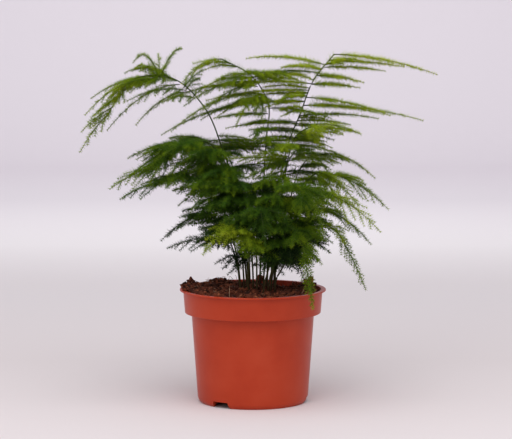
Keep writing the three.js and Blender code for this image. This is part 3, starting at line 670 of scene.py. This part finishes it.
stem(
    name="stem_left_high",
    via=[
        (-2.6, 4.3, 0), (-5.6, 4, 125), (-13, 5, 170), (-25, 4, 208), (-39, 3, 241),
        (-57, 0, 259), (-72, -4, 269), (-92, -9, 268), (-108, -14, 253), (-118, -18, 236),
    ],
    face=190, spread=(24, 28), begin=0.7, sprays=7, reach=56, tip=(34, -0.9, 0.4),
    more=[
        (0.79, 176, 44, 2.9, 2.3), (0.79, 8, 44, 2.9, 1.6), (0.71, 40, 32, 1.1, 0.5),
        (0.725, 188, 62, 0, 0.62), (0.84, 190, 50, -0.05, 0.55), (0.76, 160, 44, 0.8, 0.7),
        (0.52, -4, 42, 0.1, 0.15),
    ],
    youth=0.6, fullness=1.5, twigs=11,
    between=[(0.79, 100, 28, 2.8, 1.0), (0.8, 150, 30, 1.6, 1.2)],
)
stem(
    name="stem_right_high",
    via=[
        (10.9, 3.2, 0), (12.9, 4, 125), (19, 6, 165), (26, 7, 200), (33, 7, 225), (39, 5, 237),
        (45, 3, 254), (50, 2, 265), (57, 0, 278), (66, -1, 285),
    ],
    face=-90, spread=(80, 60), begin=0.62, sprays=3, reach=52, tip=(85, -0.02, 0.17),
    more=[
        (0.78, -6, 98, 0.04, 0.16), (0.865, 176, 72, 0.14, 0.22), (0.795, 188, 60, 0.06, 0.12),
        (0.9, -16, 40, 0.02, 0.15), (0.94, -4, 50, 0.06, 0.12), (0.95, 176, 66, 0.32, 0.24),
        (0.715, 178, 58, 0.06, 0.15), (0.7, 10, 54, 0.02, 0.14), (0.865, -8, 40, 0.04, 0.12),
        (0.88, 165, 34, 0.5, 0.5), (0.625, 184, 66, 0.08, 0.15), (0.72, 16, 46, 0.06, 0.15),
    ],
    youth=0.74, fullness=1.2, low=3, tilt=4, twigs=16,
    between=[(0.84, 178, 84, 0.06, 0.16), (0.97, -4, 62, 0.02, 0.1)],
)
stem(
    name="stem_centre_top",
    via=[
        (5, 5.4, 0), (6.8, 8, 130), (9, 10, 180), (11, 11, 215), (13, 11, 240), (10, 9, 254),
        (0, 6, 266), (-12, 2, 276), (-25, -1, 281),
    ],
    face=185, spread=(78, 40), begin=0.66, sprays=4, reach=56, tip=(35, 0.1, 0.67),
    more=[
        (0.8, 198, 78, 0.1, 0.48), (0.76, 182, 88, 0.04, 0.34), (0.72, 208, 50, 0.1, 0.15),
        (0.85, 210, 60, 0.05, 0.45), (0.83, 178, 74, 0.2, 0.36), (0.8, -112, 54, 0, 0.4),
        (0.84, -72, 50, 0.05, 0.4), (0.74, -18, 56, 0.05, 0.2), (0.66, 6, 56, 0.05, 0.2),
        (0.87, 4, 64, 0.28, 0.28), (0.89, -34, 52, 0.2, 0.3), (0.6, 176, 68, 0.06, 0.12),
        (0.62, -10, 50, 0.1, 0.15),
    ],
    youth=0.56, fullness=1.2, low=4, tilt=10, twigs=18,
)
stem(
    name="stem_right_lean",
    via=[(15.1, 0, 0), (16.4, -1, 130), (25, -3, 177), (31, -5, 210), (40, -8, 224), (52, -13, 229)],
    face=-40, spread=(95, 40), begin=0.6, sprays=6, reach=60, tip=(38, 0.05, 0.25),
    more=[(0.76, 188, 56, 0.1, 0.1)],
    youth=0.6, fullness=1, low=4, tilt=14, twigs=22,
)
stem(
    name="stem_right_arch",
    via=[(16.8, 8.6, 0), (19.6, 12, 130), (31, 17, 166), (39, 21, 190), (50, 22, 201), (61, 20, 203)],
    face=10, spread=(80, 35), begin=0.6, sprays=4, reach=44, tip=(42, -0.02, 0.5),
    more=[(0.7, 172, 56, 0.2, 0.2)],
    youth=0.42, fullness=0.6, twigs=13,
)
stem(
    name="stem_right_middle",
    via=[(17.6, -5.4, 0), (19.8, -5, 118), (33, -5, 158), (44, -6, 182), (56, -8, 190), (69, -10, 187)],
    face=-8, spread=(78, 34), begin=0.5, sprays=7, reach=48, tip=(46, -0.3, 0.35),
    more=[(0.9, -38, 42, -0.25, 0.4)],
    youth=0.5, fullness=1.1, twigs=21,
)
stem(
    name="stem_right_front",
    via=[
        (13.4, -9.7, 0), (17.3, -13, 115), (27, -20, 150), (39, -28, 173), (51, -34, 179),
        (62, -39, 174),
    ],
    face=-35, spread=(80, 35), begin=0.5, sprays=7, reach=50, tip=(48, -0.3, 0.35),
    more=[(0.72, 200, 46, 0.1, 0.4)],
    youth=0.58, fullness=2, low=6, twigs=21,
)
stem(
    name="stem_right_low",
    via=[(17.6, 3.2, 0), (19.6, 5, 110), (36, 8, 140), (48, 10, 156), (60, 9, 157)],
    face=6, spread=(78, 34), begin=0.48, sprays=6, reach=44, tip=(42, -0.3, 0.45),
    youth=0.46, fullness=1.9, low=6, twigs=21,
)
stem(
    name="stem_right_droop",
    via=[
        (16.8, -13, 0), (18.6, -15, 100), (35, -20, 130), (48, -25, 145), (59, -27, 148),
        (68, -28, 143),
    ],
    face=-20, spread=(69, 36), begin=0.46, sprays=6, reach=36, tip=(47, -1.5, 0.5),
    youth=0.68, fullness=1.6, low=3, twigs=21,
)
stem(
    name="stem_front_droop",
    via=[(10, -15.1, 0), (12.9, -18, 98), (20, -28, 128), (28, -42, 145), (35, -55, 146), (40, -65, 133)],
    face=-62, spread=(66, 30), begin=0.48, sprays=5, reach=40, tip=(46, -2.4, 0.3),
    youth=0.5, fullness=2.2, low=4,
)
stem(
    name="stem_left_middle",
    via=[
        (-3.4, -2.2, 0), (-7.3, -4, 125), (-15, -6, 173), (-27, -9, 205), (-45, -13, 217),
        (-62, -17, 210), (-77, -21, 196),
    ],
    face=194, spread=(72, 32), begin=0.5, sprays=10, reach=68, tip=(42, -0.22, 0.25),
    more=[(0.52, 15, 54, 0.25, 0.3), (0.6, 155, 66, 0.15, 0.3), (0.68, 200, 64, 0.1, 0.35)],
    youth=0.32, fullness=3.2, twigs=22,
)
stem(
    name="stem_left_back",
    via=[(-5.9, 7.6, 0), (-10, 10, 130), (-20, 17, 175), (-34, 24, 208), (-50, 28, 216), (-67, 29, 206)],
    face=171, spread=(78, 41), begin=0.52, sprays=8, reach=66, tip=(42, -0.4, 0.25),
    more=[(0.67, -2, 64, 0.3, 0.25), (0.76, 20, 60, 0.28, 0.25)],
    youth=0.32, fullness=3, twigs=18,
    between=[(0.84, 4, 56, 0.14, 0.14)],
)
stem(
    name="stem_left_slant",
    via=[
        (-8.4, -5.4, 0), (-12.6, -9, 118), (-23, -15, 158), (-36, -21, 181), (-52, -25, 190),
        (-71, -28, 184),
    ],
    face=202, spread=(75, 34), begin=0.5, sprays=8, reach=52, tip=(38, -0.15, 0.25),
    more=[(0.55, 20, 48, 0.2, 0.3)],
    youth=0.26, fullness=2.0,
)
stem(
    name="stem_left_bright",
    via=[(-2.6, -10.8, 0), (-3.8, -18, 104), (-3, -30, 131), (-8, -41, 146), (-17, -48, 148)],
    face=205, spread=(84, 38), begin=0.7, sprays=7, reach=42, tip=(32, -0.4, 0.3),
    youth=0.7, fullness=2.4,
)
stem(
    name="stem_left_low",
    via=[(-9.3, 3.2, 0), (-12.6, 5, 110), (-22, 8, 139), (-32, 10, 152), (-44, 11, 153)],
    face=178, spread=(75, 34), begin=0.64, sprays=7, reach=38, tip=(36, -0.3, 0.4),
    more=[(0.64, 190, 52, 0.16, 0.3)],
    youth=0.2, fullness=0.9,
)
stem(
    name="stem_front_middle",
    via=[(3.3, -14, 0), (3.2, -19, 112), (3, -31, 142), (4, -47, 161), (6, -62, 164)],
    face=-88, spread=(80, 38), begin=0.54, sprays=8, reach=56, tip=(34, -0.4, 0.5),
    youth=0.2, fullness=2, low=8,
)
stem(
    name="stem_front_right",
    via=[
        (7.5, -7.6, 0), (10.3, -12, 120), (18, -24, 158), (27, -40, 180), (35, -54, 183),
        (42, -66, 176),
    ],
    face=-62, spread=(80, 38), begin=0.48, sprays=8, reach=58, tip=(34, -0.5, 0.5),
    more=[(0.66, 185, 56, 0.1, 0.3)],
    youth=0.34, fullness=2, low=8,
)
stem(
    name="stem_inner_front",
    via=[(5.8, -18.4, 0), (8, -21, 92), (14, -28, 116), (22, -36, 130), (31, -43, 130)],
    face=-40, spread=(85, 40), begin=0.68, sprays=6, reach=30, tip=(26, -0.8, 0.4),
    youth=0.1, fullness=2.6, low=9,
)
stem(
    name="stem_inner_left",
    via=[
        (0.8, -8.6, 0), (-0.3, -10, 115), (-4, -15, 152), (-9, -22, 177), (-17, -30, 187),
        (-26, -36, 184),
    ],
    face=235, spread=(88, 38), begin=0.5, sprays=9, reach=52, tip=(34, -0.4, 0.4),
    more=[(0.3, 20, 30, 0.1, 0.4), (0.38, 165, 32, 0.1, 0.4)],
    youth=0.18, fullness=2.6, low=9,
)
stem(
    name="stem_back_left",
    via=[
        (-1.7, 16.2, 0), (-3.8, 22, 122), (-11, 36, 168), (-21, 54, 198), (-33, 70, 206),
        (-44, 84, 198),
    ],
    face=125, spread=(85, 34), begin=0.48, sprays=8, reach=54, tip=(34, -0.5, 0.4),
    youth=0.28, fullness=1.5, low=3,
)
stem(
    name="stem_back_right",
    via=[(10.9, 14, 0), (13.8, 22, 126), (22, 38, 170), (31, 54, 196), (41, 68, 204), (51, 80, 198)],
    face=52, spread=(85, 34), begin=0.48, sprays=8, reach=54, tip=(34, -0.5, 0.4),
    youth=0.34, fullness=1.5, low=4,
)


UP = np.array([0, 0, 1.0])


def draws_from(seed):
    """A repeatable stream of draws between 0 and 1, the one that the solids use."""
    state = seed

    def draw():
        nonlocal state
        state = (state * 1664525 + 1013904223) % 2**32
        return state / 2**32

    return draw


def mix(a, b, share):
    """A value between two others."""
    return a + (b - a) * share


def curve_at(points, share):
    """A point on the smooth curve through the given points."""
    last = len(points) - 1
    place = share * last
    i = min(int(place), last - 1)
    w = place - i
    p1, p2 = points[i], points[i + 1]
    p0 = points[i - 1] if i > 0 else 2 * points[0] - points[1]
    p3 = points[i + 2] if i + 2 <= last else 2 * points[last] - points[last - 1]
    t0, t1 = 0.5 * (p2 - p0), 0.5 * (p3 - p1)
    return p1 + t0 * w + (3 * (p2 - p1) - 2 * t0 - t1) * w**2 + (2 * (p1 - p2) + t0 + t1) * w**3


def run_along(path):
    """How far along a path each of its points is."""
    return np.concatenate([[0], np.cumsum(np.linalg.norm(np.diff(path, axis=0), axis=1))])


def stem_line(via):
    """A stem's line in STEM_STEPS straight lengths, the first of which stands in the compost."""
    points = [np.array([*via[0][:2], ROOT_DEPTH], float)] + [np.array(p, float) for p in via[1:]]
    steps = np.arange(CURVE_STEPS + 1) / CURVE_STEPS
    run = run_along(np.array([curve_at(points, step) for step in steps]))
    at = lambda share: curve_at(points, np.interp(share * run[-1], run, steps))
    clear = 0
    while at(clear)[2] < STRAIGHT_TOP:
        clear += CLEAR_STEP
    shares = [0] + [mix(clear, 1, i / (STEM_STEPS - 1)) for i in range(STEM_STEPS)]
    return np.array([at(share) for share in shares])


def points_at(path, run, at):
    """The points that are so far along a path."""
    return np.stack([np.interp(at, run, path[:, k]) for k in range(3)], -1)


def line_at(line, shares):
    """Points along a line of straight lengths, at shares of its whole length."""
    run = run_along(line)
    return points_at(line, run, np.asarray(shares) * run[-1])


def way_at(line, share):
    """The direction of a line of straight lengths at a share of its length."""
    step = line_at(line, share + 1e-4) - line_at(line, share - 1e-4)
    return step / np.linalg.norm(step)


def new_spray(place, azimuth, length, rise, sag):
    """A spray, by its place on the stem, its way, its length, and how it rises and sags."""
    return dict(place=place, azimuth=azimuth, length=length, rise=rise, sag=sag)


def sprays_of(plant, line, seed):
    """Every spray of a stem, as the rule and the list of further sprays give them."""
    draw = draws_from(seed)
    sprays = [new_spray(*spray) for spray in plant["more"]]
    for i in range(plant["sprays"]):
        share = i / max(plant["sprays"] - 1, 1)
        side = 1 if i % 2 == 0 else -1
        place = mix(plant["begin"], SPRAYS_END, share)
        way = way_at(line, place)
        slope = max(-1, min(0.2, way[2] / math.hypot(way[0], way[1])))
        turn = mix(*plant["spread"], share) + TURN_SCATTER * (draw() - 0.5)
        length = plant["reach"] * (1 - SPRAY_TAPER * share) * (SPRAY_SHORTEST + LENGTH_SCATTER * draw())
        rise = SPRAY_RISE + SPRAY_FOLLOW * slope + RISE_SCATTER * (draw() - 0.5)
        sag = SPRAY_SAG + SAG_SCATTER * (draw() - 0.5)
        sprays.append(new_spray(place, plant["face"] + side * turn, length, rise, sag))
    heading = way_at(line, 0.999)
    sprays.append(new_spray(1, math.degrees(math.atan2(heading[1], heading[0])), *plant["tip"]))
    return sprays


def rib_of(spray, shares):
    """Points on a spray's rib, which rises a little from the stem and then sags."""
    azimuth = math.radians(spray["azimuth"])
    heading = np.array([math.cos(azimuth), math.sin(azimuth), 0])
    shares = np.asarray(shares, float)[:, None]
    run = spray["flat"] * shares
    return spray["origin"] + heading * run + UP * run * (spray["rise"] - spray["sag"] * shares)


def set_on(line, spray):
    """Sets a spray on its stem, and works out how far its rib reaches on the flat."""
    spray["origin"] = line_at(line, spray["place"])
    spray["flat"] = spray["length"] / math.hypot(1, spray["rise"] - spray["sag"] / 2)
    return spray


def samples_on(spray):
    """Points along a spray's rib, about SAMPLE_STEP apart."""
    count = max(4, math.ceil(spray["length"] / SAMPLE_STEP))
    return rib_of(spray, np.arange(count + 1) / count)


def lay_out():
    """Places every spray where its solid is: swung aside where it would meet another stem's."""
    lines = [stem_line(plant["via"]) for plant in STEMS]
    taken = []
    for i, line in enumerate(lines):
        count = math.ceil(run_along(line)[-1] / SAMPLE_STEP)
        taken.append((i, line_at(line, np.arange(count + 1) / count)))
    placed = []
    for i, (plant, line) in enumerate(zip(STEMS, lines)):
        sprays = []
        for spray in sprays_of(plant, line, i + 1):
            others = np.concatenate([points for owner, points in taken if owner != i])
            for swing in SWINGS:
                rise = spray["rise"] + abs(swing) * SWING_LIFT
                trial = set_on(line, dict(spray, azimuth=spray["azimuth"] + swing, rise=rise))
                samples = samples_on(trial)
                apart = ((samples[:, None] - others[None]) ** 2).sum(2)
                if apart.min() > LINE_GAP**2:
                    sprays.append(trial)
                    taken.append((i, samples))
                    break
        placed.append((plant, line, sprays))
    return placed


def unit(vectors):
    """The vectors at length 1."""
    return vectors / (np.linalg.norm(vectors, axis=-1, keepdims=True) + 1e-9)


def needles(bases, ways, sizes, tones):
    """Tufts of needles round a twig: each one a slim three-sided spike that leans forward."""
    tufts = len(bases)
    tuft_facts = (bases, ways, sizes, tones)
    bases, ways, sizes, tones = (np.repeat(facts, NEEDLES_IN_TUFT, 0) for facts in tuft_facts)
    count = len(bases)
    side = unit(np.cross(ways, UP) + [1e-6, 0, 0])
    other = np.cross(side, ways)
    scatter = chance.uniform(-NEEDLE_SCATTER, NEEDLE_SCATTER, count)
    turn = (np.tile(np.arange(NEEDLES_IN_TUFT), tufts) + scatter) * 2 * np.pi / NEEDLES_IN_TUFT
    turn = turn + np.repeat(chance.uniform(0, 2 * np.pi, tufts), NEEDLES_IN_TUFT)
    # The tufts are a little flattened, to lie in the plane of their spray.
    out = np.cos(turn)[:, None] * side + 0.8 * np.sin(turn)[:, None] * other
    lean = np.radians(chance.uniform(*NEEDLE_LEAN, count))[:, None]
    direction = unit(np.cos(lean) * ways + np.sin(lean) * out)
    length = (NEEDLE_LENGTH * sizes * chance.uniform(*NEEDLE_LENGTHS, count))[:, None]
    across = unit(np.cross(direction, ways) + [0, 0, 1e-6])
    upright = np.cross(direction, across)
    half = NEEDLE_WIDTH / 2
    start = bases + chance.uniform(-NEEDLE_SCATTER, NEEDLE_SCATTER, (count, 1)) * ways
    corners = [
        start + half * across - 0.4 * half * upright,
        start - half * across - 0.4 * half * upright,
        start + half * upright,
        start + length * direction,
    ]
    points = np.stack(corners, 1).reshape(-1, 3)
    first = np.arange(count)[:, None, None] * 4
    faces = (first + np.array([[0, 1, 3], [1, 2, 3], [2, 0, 3]])[None]).reshape(-1, 3)
    tone = np.stack([tones, tones, tones, tones + TIP_TONE], 1).reshape(-1)
    return points, faces, tone


def along_paths(paths, spacing, first=0.0):
    """Evenly spaced places on each path, with the direction there and the share along it."""
    places, ways, shares, owners = [], [], [], []
    for index, path in enumerate(paths):
        run = run_along(path)
        at = np.arange(first * run[-1] + 0.3 * spacing, run[-1], spacing)
        if not len(at):
            continue
        ahead = points_at(path, run, np.minimum(at + 0.5, run[-1]))
        behind = points_at(path, run, np.maximum(at - 0.5, 0))
        places.append(points_at(path, run, at))
        ways.append(unit(ahead - behind))
        shares.append(at / run[-1])
        owners.append(np.full(len(at), index))
    return tuple(np.concatenate(group) for group in (places, ways, shares, owners))


def low_sprays(plant, line):
    """Short old sprays all round a stem near its foot, where little light comes."""
    shares = np.linspace(0, 0.8, 161)
    heights = line_at(line, shares)[:, 2]
    added = []
    for _ in range(plant["low"]):
        azimuth = chance.uniform(0, 360)
        # Those on the right start a little lower.
        height = chance.uniform(*LOW_SPRAY_HEIGHT) - LOW_SPRAY_LEAN * math.cos(math.radians(azimuth))
        place = shares[np.abs(heights - height).argmin()]
        length = chance.uniform(*LOW_SPRAY_LENGTH)
        added.append(new_spray(place, azimuth, length, chance.uniform(*LOW_SPRAY_RISE), LOW_SPRAY_SAG))
    return added


def finer_sprays(plant, line, sprays):
    """Sprays between the solids' own: each one shorter, beside one of them and turned from it."""
    added = low_sprays(plant, line) + [new_spray(*spray) for spray in plant["between"]]
    # Slim sprays keep apart in layers, so theirs turn and fall less.
    slim = plant["twigs"] < SLIM_BELOW
    turns, rises = (SLIM_TURN, SLIM_RISE) if slim else (FINER_TURN, FINER_RISE)
    for _ in range(round(plant["fullness"] * len(sprays))):
        near = sprays[chance.integers(len(sprays) - 1)]
        azimuth = near["azimuth"] + chance.choice([-1, 1]) * chance.uniform(*turns)
        place = min(near["place"] + chance.uniform(-0.04, 0.04), 0.99)
        length = near["length"] * chance.uniform(*FINER_LENGTH)
        rise = near["rise"] + chance.uniform(*rises)
        added.append(new_spray(place, azimuth, length, rise, near["sag"]))
    return [set_on(line, spray) for spray in added]


def hangs(spray):
    """Whether a spray falls so steeply that it hangs, as an old one that trails over the rim does."""
    return spray["sag"] - spray["rise"] > HANGING_FALL


def twigs_of(spray, plant):
    """The twigs of one spray: paths on alternate sides of the rib, bent forward and drooping."""
    gap, longest, taper = TWIG_SPACING, min(TWIG_SHARE * spray["length"], plant["twigs"]), TWIG_TAPER
    if hangs(spray):
        gap, longest, taper = HANGING_SPACING, HANGING_TWIG, HANGING_TAPER
    spacing = gap / 2 / spray["length"]
    shares = np.arange(PETIOLE_SHARE + 0.02, 0.96, spacing)
    shares = shares + chance.uniform(-0.3, 0.3, len(shares)) * spacing
    shares = np.minimum(shares, 0.97)
    root = rib_of(spray, shares)
    along = unit(rib_of(spray, shares + 0.01) - rib_of(spray, shares - 0.01))
    unevenness = chance.uniform(-0.5, 0.5)
    if hangs(spray):
        # Its twigs spread to the left and right, as the picture shows them.
        side = unit(np.array([1, 0, 0]) - along * along[:, :1])
    else:
        # Sprays at the front tilt towards the front, and those behind towards the back.
        level = unit(np.cross(UP, along))
        outward = np.clip((TILT_TURNS_AT - spray["origin"][1]) / TILT_TURNS_OVER, -1, 1)
        roll = np.radians(plant["tilt"] * (outward * along[:, :1] + unevenness))
        side = np.cos(roll) * level + np.sin(roll) * np.cross(along, level)
    normal = np.cross(along, side)
    sides = np.where(np.arange(len(shares)) % 2 == 0, 1, -1)[:, None]
    reach = longest * (1 - shares) ** taper * chance.uniform(*TWIG_LENGTHS, len(shares))
    scatter = chance.uniform(-TWIG_ANGLE_SCATTER, TWIG_ANGLE_SCATTER, len(shares))
    angle = np.radians(TWIG_ANGLE + scatter)[:, None]
    t = np.linspace(0, 1, TWIG_POINTS)[None, :, None]
    out = np.cos(angle) * along + sides * np.sin(angle) * side
    span = reach[:, None, None]
    paths = root[:, None] + span * t * out[:, None]
    droop = plant["tilt"] / SPRAY_TILT
    paths = paths + span * t * t * (TWIG_BEND * along[:, None] - TWIG_CURL * droop * UP)
    paths = paths - span * t * TWIG_DROOP * droop * normal[:, None]
    grown = reach > TWIG_SHORTEST
    return paths[grown], shares[grown]


def foliage_of(plant, line, sprays):
    """One leafy stem: its cane, the ribs and twigs of its sprays, and all their needles."""
    smooth = np.array([curve_at(list(line), share) for share in np.linspace(0, 1, STEM_POINTS)])
    points, faces = tubes(smooth[None], np.linspace(*STEM_RADII, STEM_POINTS)[None], 7)
    brown = np.clip(1 - (points[:, 2] - BROWN_BELOW) / BROWN_FADES_OVER, 0, 1)
    parts = [(points, faces, GREEN_CANE - brown)]
    # Slim sprays have finer needles.
    fineness = 0.75 + 0.25 * plant["twigs"] / TWIG_LONGEST
    for spray in sprays + finer_sprays(plant, line, sprays):
        # The leaves' tone: how young they are, less a painted shade on sprays low on the stem.
        young = plant["youth"] * mix(YOUTH_AT_FOOT, 1, spray["place"] ** 2) + chance.uniform(-0.09, 0.09)
        young -= PAINTED_SHADE * np.clip((PAINTED_SHADE_BELOW - spray["origin"][2]) / PAINTED_SHADE_OVER, 0, 1)
        closeness = 1
        if hangs(spray):
            young = HANGING_TONE
            closeness = HANGING_TUFTS
        rib = rib_of(spray, np.linspace(0, 1, RIB_POINTS))
        points, faces = tubes(rib[None], np.linspace(*RIB_RADII, RIB_POINTS)[None], 4)
        parts.append((points, faces, np.full(len(points), RIB_TONE)))
        twigs, roots = twigs_of(spray, plant)
        if len(twigs):
            radii = np.linspace(*TWIG_RADII, TWIG_POINTS)[None] * np.ones((len(twigs), 1))
            points, faces = tubes(twigs, radii, 3)
            parts.append((points, faces, np.full(len(points), young - 0.15)))
            places, ways, shares, owners = along_paths(twigs, TUFT_SPACING)
            aged = young + 0.16 * shares + chance.uniform(-0.06, 0.06, len(twigs))[owners]
            sizes = fineness * (1 - 0.45 * shares**2) * (1 - 0.5 * roots[owners] ** 2) * closeness
            parts.append(needles(places, ways, sizes, aged))
        places, ways, shares, _ = along_paths([rib], TUFT_SPACING * closeness, first=PETIOLE_SHARE)
        parts.append(needles(places, ways, fineness * (1 - 0.5 * shares**2), young + 0.2 * shares))
    places, ways, shares, _ = along_paths([smooth], TUFT_SPACING, first=LEAFY_FROM)
    parts.append(needles(places, ways, fineness * np.ones(len(places)), plant["youth"] - 0.1 * shares))
    return joined(plant["name"] + "_leaves", parts)


def cladode_green():
    """Needle leaves: soft waxy green, dark when old and darker still with the painted shade low in the
    clump, yellow-green when young, on brown-footed canes.
    """
    sockets = {"Roughness": 0.65, "Specular IOR Level": 0.12}
    material, tree, surface, place = new_material("cladode_green", sockets)
    tone = add_node(tree, "ShaderNodeAttribute", {"attribute_name": "tone"}).outputs["Fac"]
    # Whole patches of a spray are a little lighter or darker.
    noise = {"Scale": 1 / (LEAF_PATCH * MM), "Detail": 2.0}
    patches = add_node(tree, "ShaderNodeTexNoise", noise, {"Vector": place})
    shifted = add_node(
        tree,
        "ShaderNodeMapRange",
        {"From Min": 0.3, "From Max": 0.7, "To Min": -0.1, "To Max": 0.1},
        {"Value": patches.outputs["Fac"]},
    )
    sum_of = {0: tone, 1: shifted.outputs["Result"]}
    aged = add_node(tree, "ShaderNodeMath", {"operation": "ADD"}, sum_of)
    greens = [
        (0.0, "#14280A"), (0.1, "#20390A"), (0.3, "#3A5C0A"), (0.55, "#6C860E"), (0.8, "#96AA1E"),
        (1.0, "#B4C036"),
    ]
    leaf = ramp_of(tree, aged.outputs["Value"], greens)
    browning = add_node(
        tree,
        "ShaderNodeMapRange",
        {"From Min": GREEN_CANE, "From Max": GREEN_CANE - 1, "To Min": 0.0, "To Max": 1.0},
        {"Value": tone},
    )
    woods = [(0.0, "#37451C"), (0.6, "#3E3E20"), (1.0, "#43301D")]
    cane = ramp_of(tree, browning.outputs["Result"], woods)
    is_cane = add_node(tree, "ShaderNodeMath", {"operation": "LESS_THAN", 1: CANE_BELOW}, {0: tone})
    # In a colour mix, socket 0 is the factor, 6 and 7 are the colours, and output 2 is the result.
    mixed = {0: is_cane.outputs["Value"], 6: leaf, 7: cane}
    colour = add_node(tree, "ShaderNodeMix", {"data_type": "RGBA"}, mixed)
    tree.links.new(colour.outputs[2], surface.inputs["Base Color"])
    return material


leaf_material = cladode_green()
for plant, line, sprays in lay_out():
    leafy_stem = foliage_of(plant, line, sprays)
    leafy_stem.data.materials.append(leaf_material)
    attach(leafy_stem, "root")
    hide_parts(plant["name"])


# Floor and backdrop: one wide sheet of pale paper, flat under the pot. It sweeps up so far
# behind it that a camera that looks from behind still stands in front of it.
SHEET_HALF_WIDTH = 9000
SHEET_FRONT = -9000
BEND_START = 2400
BEND_RADIUS = 600
BEND_POINTS = 24
SHEET_BACK = BEND_START + BEND_RADIUS
SHEET_TOP = 2600
TONES_FROM = -500
bend = [
    (BEND_START + BEND_RADIUS * math.sin(a), BEND_RADIUS * (1 - math.cos(a)))
    for a in np.linspace(0, math.pi / 2, BEND_POINTS)
]
sweep = [(SHEET_FRONT, 0)] + bend + [(SHEET_BACK, SHEET_TOP)]
sheet_points = [(x, y, z) for y, z in sweep for x in (-SHEET_HALF_WIDTH, SHEET_HALF_WIDTH)]
sheet_faces = [(2 * i, 2 * i + 1, 2 * i + 3, 2 * i + 2) for i in range(len(sweep) - 1)]
backdrop = mesh_object("paper_backdrop", sheet_points, sheet_faces)


def backdrop_paper_painted_light():
    """Seamless background paper: matt pale grey with a touch of lilac, with painted light and shade in
    broad bands along the depth: a painted shadow band just behind the pot and a painted light band about a
    metre further back.
    """
    sockets = {"Roughness": 0.9, "Specular IOR Level": 0.2}
    material, tree, surface, place = new_material("backdrop_paper_painted_light", sockets)
    split = add_node(tree, "ShaderNodeSeparateXYZ", links={"Vector": place})
    depth = add_node(
        tree,
        "ShaderNodeMapRange",
        {"From Min": TONES_FROM * MM, "From Max": SHEET_BACK * MM, "To Min": 0.0, "To Max": 1.0},
        {"Value": split.outputs["Y"]},
    )
    # The pale lilac grey is the paper's own colour; the lighter and darker bands along the depth are
    # painted light and painted shadow.
    greys_with_painted_light = [
        (0.109, "#E5DDDF"), (0.2, "#DDD5D7"), (0.314, "#E3DDE0"), (0.354, "#E6E0E3"), (0.465, "#EBE7EA"),
        (0.646, "#DFDAE0"), (0.8, "#E4DEE5"), (0.97, "#E8E2E9"),
    ]
    tree.links.new(ramp_of(tree, depth.outputs["Result"], greys_with_painted_light), surface.inputs["Base Color"])
    return material


backdrop.data.materials.append(backdrop_paper_painted_light())


# Studio light: a large soft box overhead, a weaker one at the front left, and one that lights the
# backdrop. None of them shows itself, and pale walls all round give the rest of the light.
def soft_box(name, place, aim, size, power):
    """A square light at a place, turned to face a point, with all three sizes in metres."""
    light = bpy.data.lights.new(name, "AREA")
    light.shape = "SQUARE"
    light.size = size
    light.energy = power
    lamp = bpy.data.objects.new(name, light)
    bpy.context.collection.objects.link(lamp)
    lamp.visible_camera = False
    lamp.location = place
    direction = np.array(aim, float) - np.array(place, float)
    yaw = math.atan2(direction[1], direction[0]) - math.pi / 2
    pitch = math.atan2(direction[2], math.hypot(direction[0], direction[1])) + math.pi / 2
    lamp.rotation_euler = (pitch, 0, yaw)


soft_box("overhead_soft_box", place=(0, -0.9, 2.0), aim=(0, 0, 0.1), size=2.0, power=29)
soft_box("front_soft_box", place=(-0.8, -2.1, 1.2), aim=(0, 0, 0.15), size=1.2, power=7)
soft_box("backdrop_soft_box", place=(0, 1.3, 1.3), aim=(0, 2.9, 0.6), size=1.4, power=9.5)
room = bpy.data.worlds.new("pale_room")
room.use_nodes = True
room.node_tree.nodes["Background"].inputs["Color"].default_value = linear("#F2F0F2")
room.node_tree.nodes["Background"].inputs["Strength"].default_value = 0.6
bpy.context.scene.world = room


# Camera: a little higher than the plant, 1.8 m in front of it, and pitched down a little. The
# narrow field is that of a long lens.
CAMERA_PLACE = (2.6, -1826, 338)
CAMERA_PITCH = 5.88
CAMERA_FIELD = 13.03
camera_data = bpy.data.cameras.new("camera")
camera_data.sensor_fit = "HORIZONTAL"
camera_data.angle = math.radians(CAMERA_FIELD)
camera = bpy.data.objects.new("camera", camera_data)
bpy.context.collection.objects.link(camera)
camera.location = [c * MM for c in CAMERA_PLACE]
camera.rotation_euler = (math.radians(90 - CAMERA_PITCH), 0, 0)
bpy.context.scene.camera = camera
bpy.context.scene.view_settings.view_transform = "Standard"
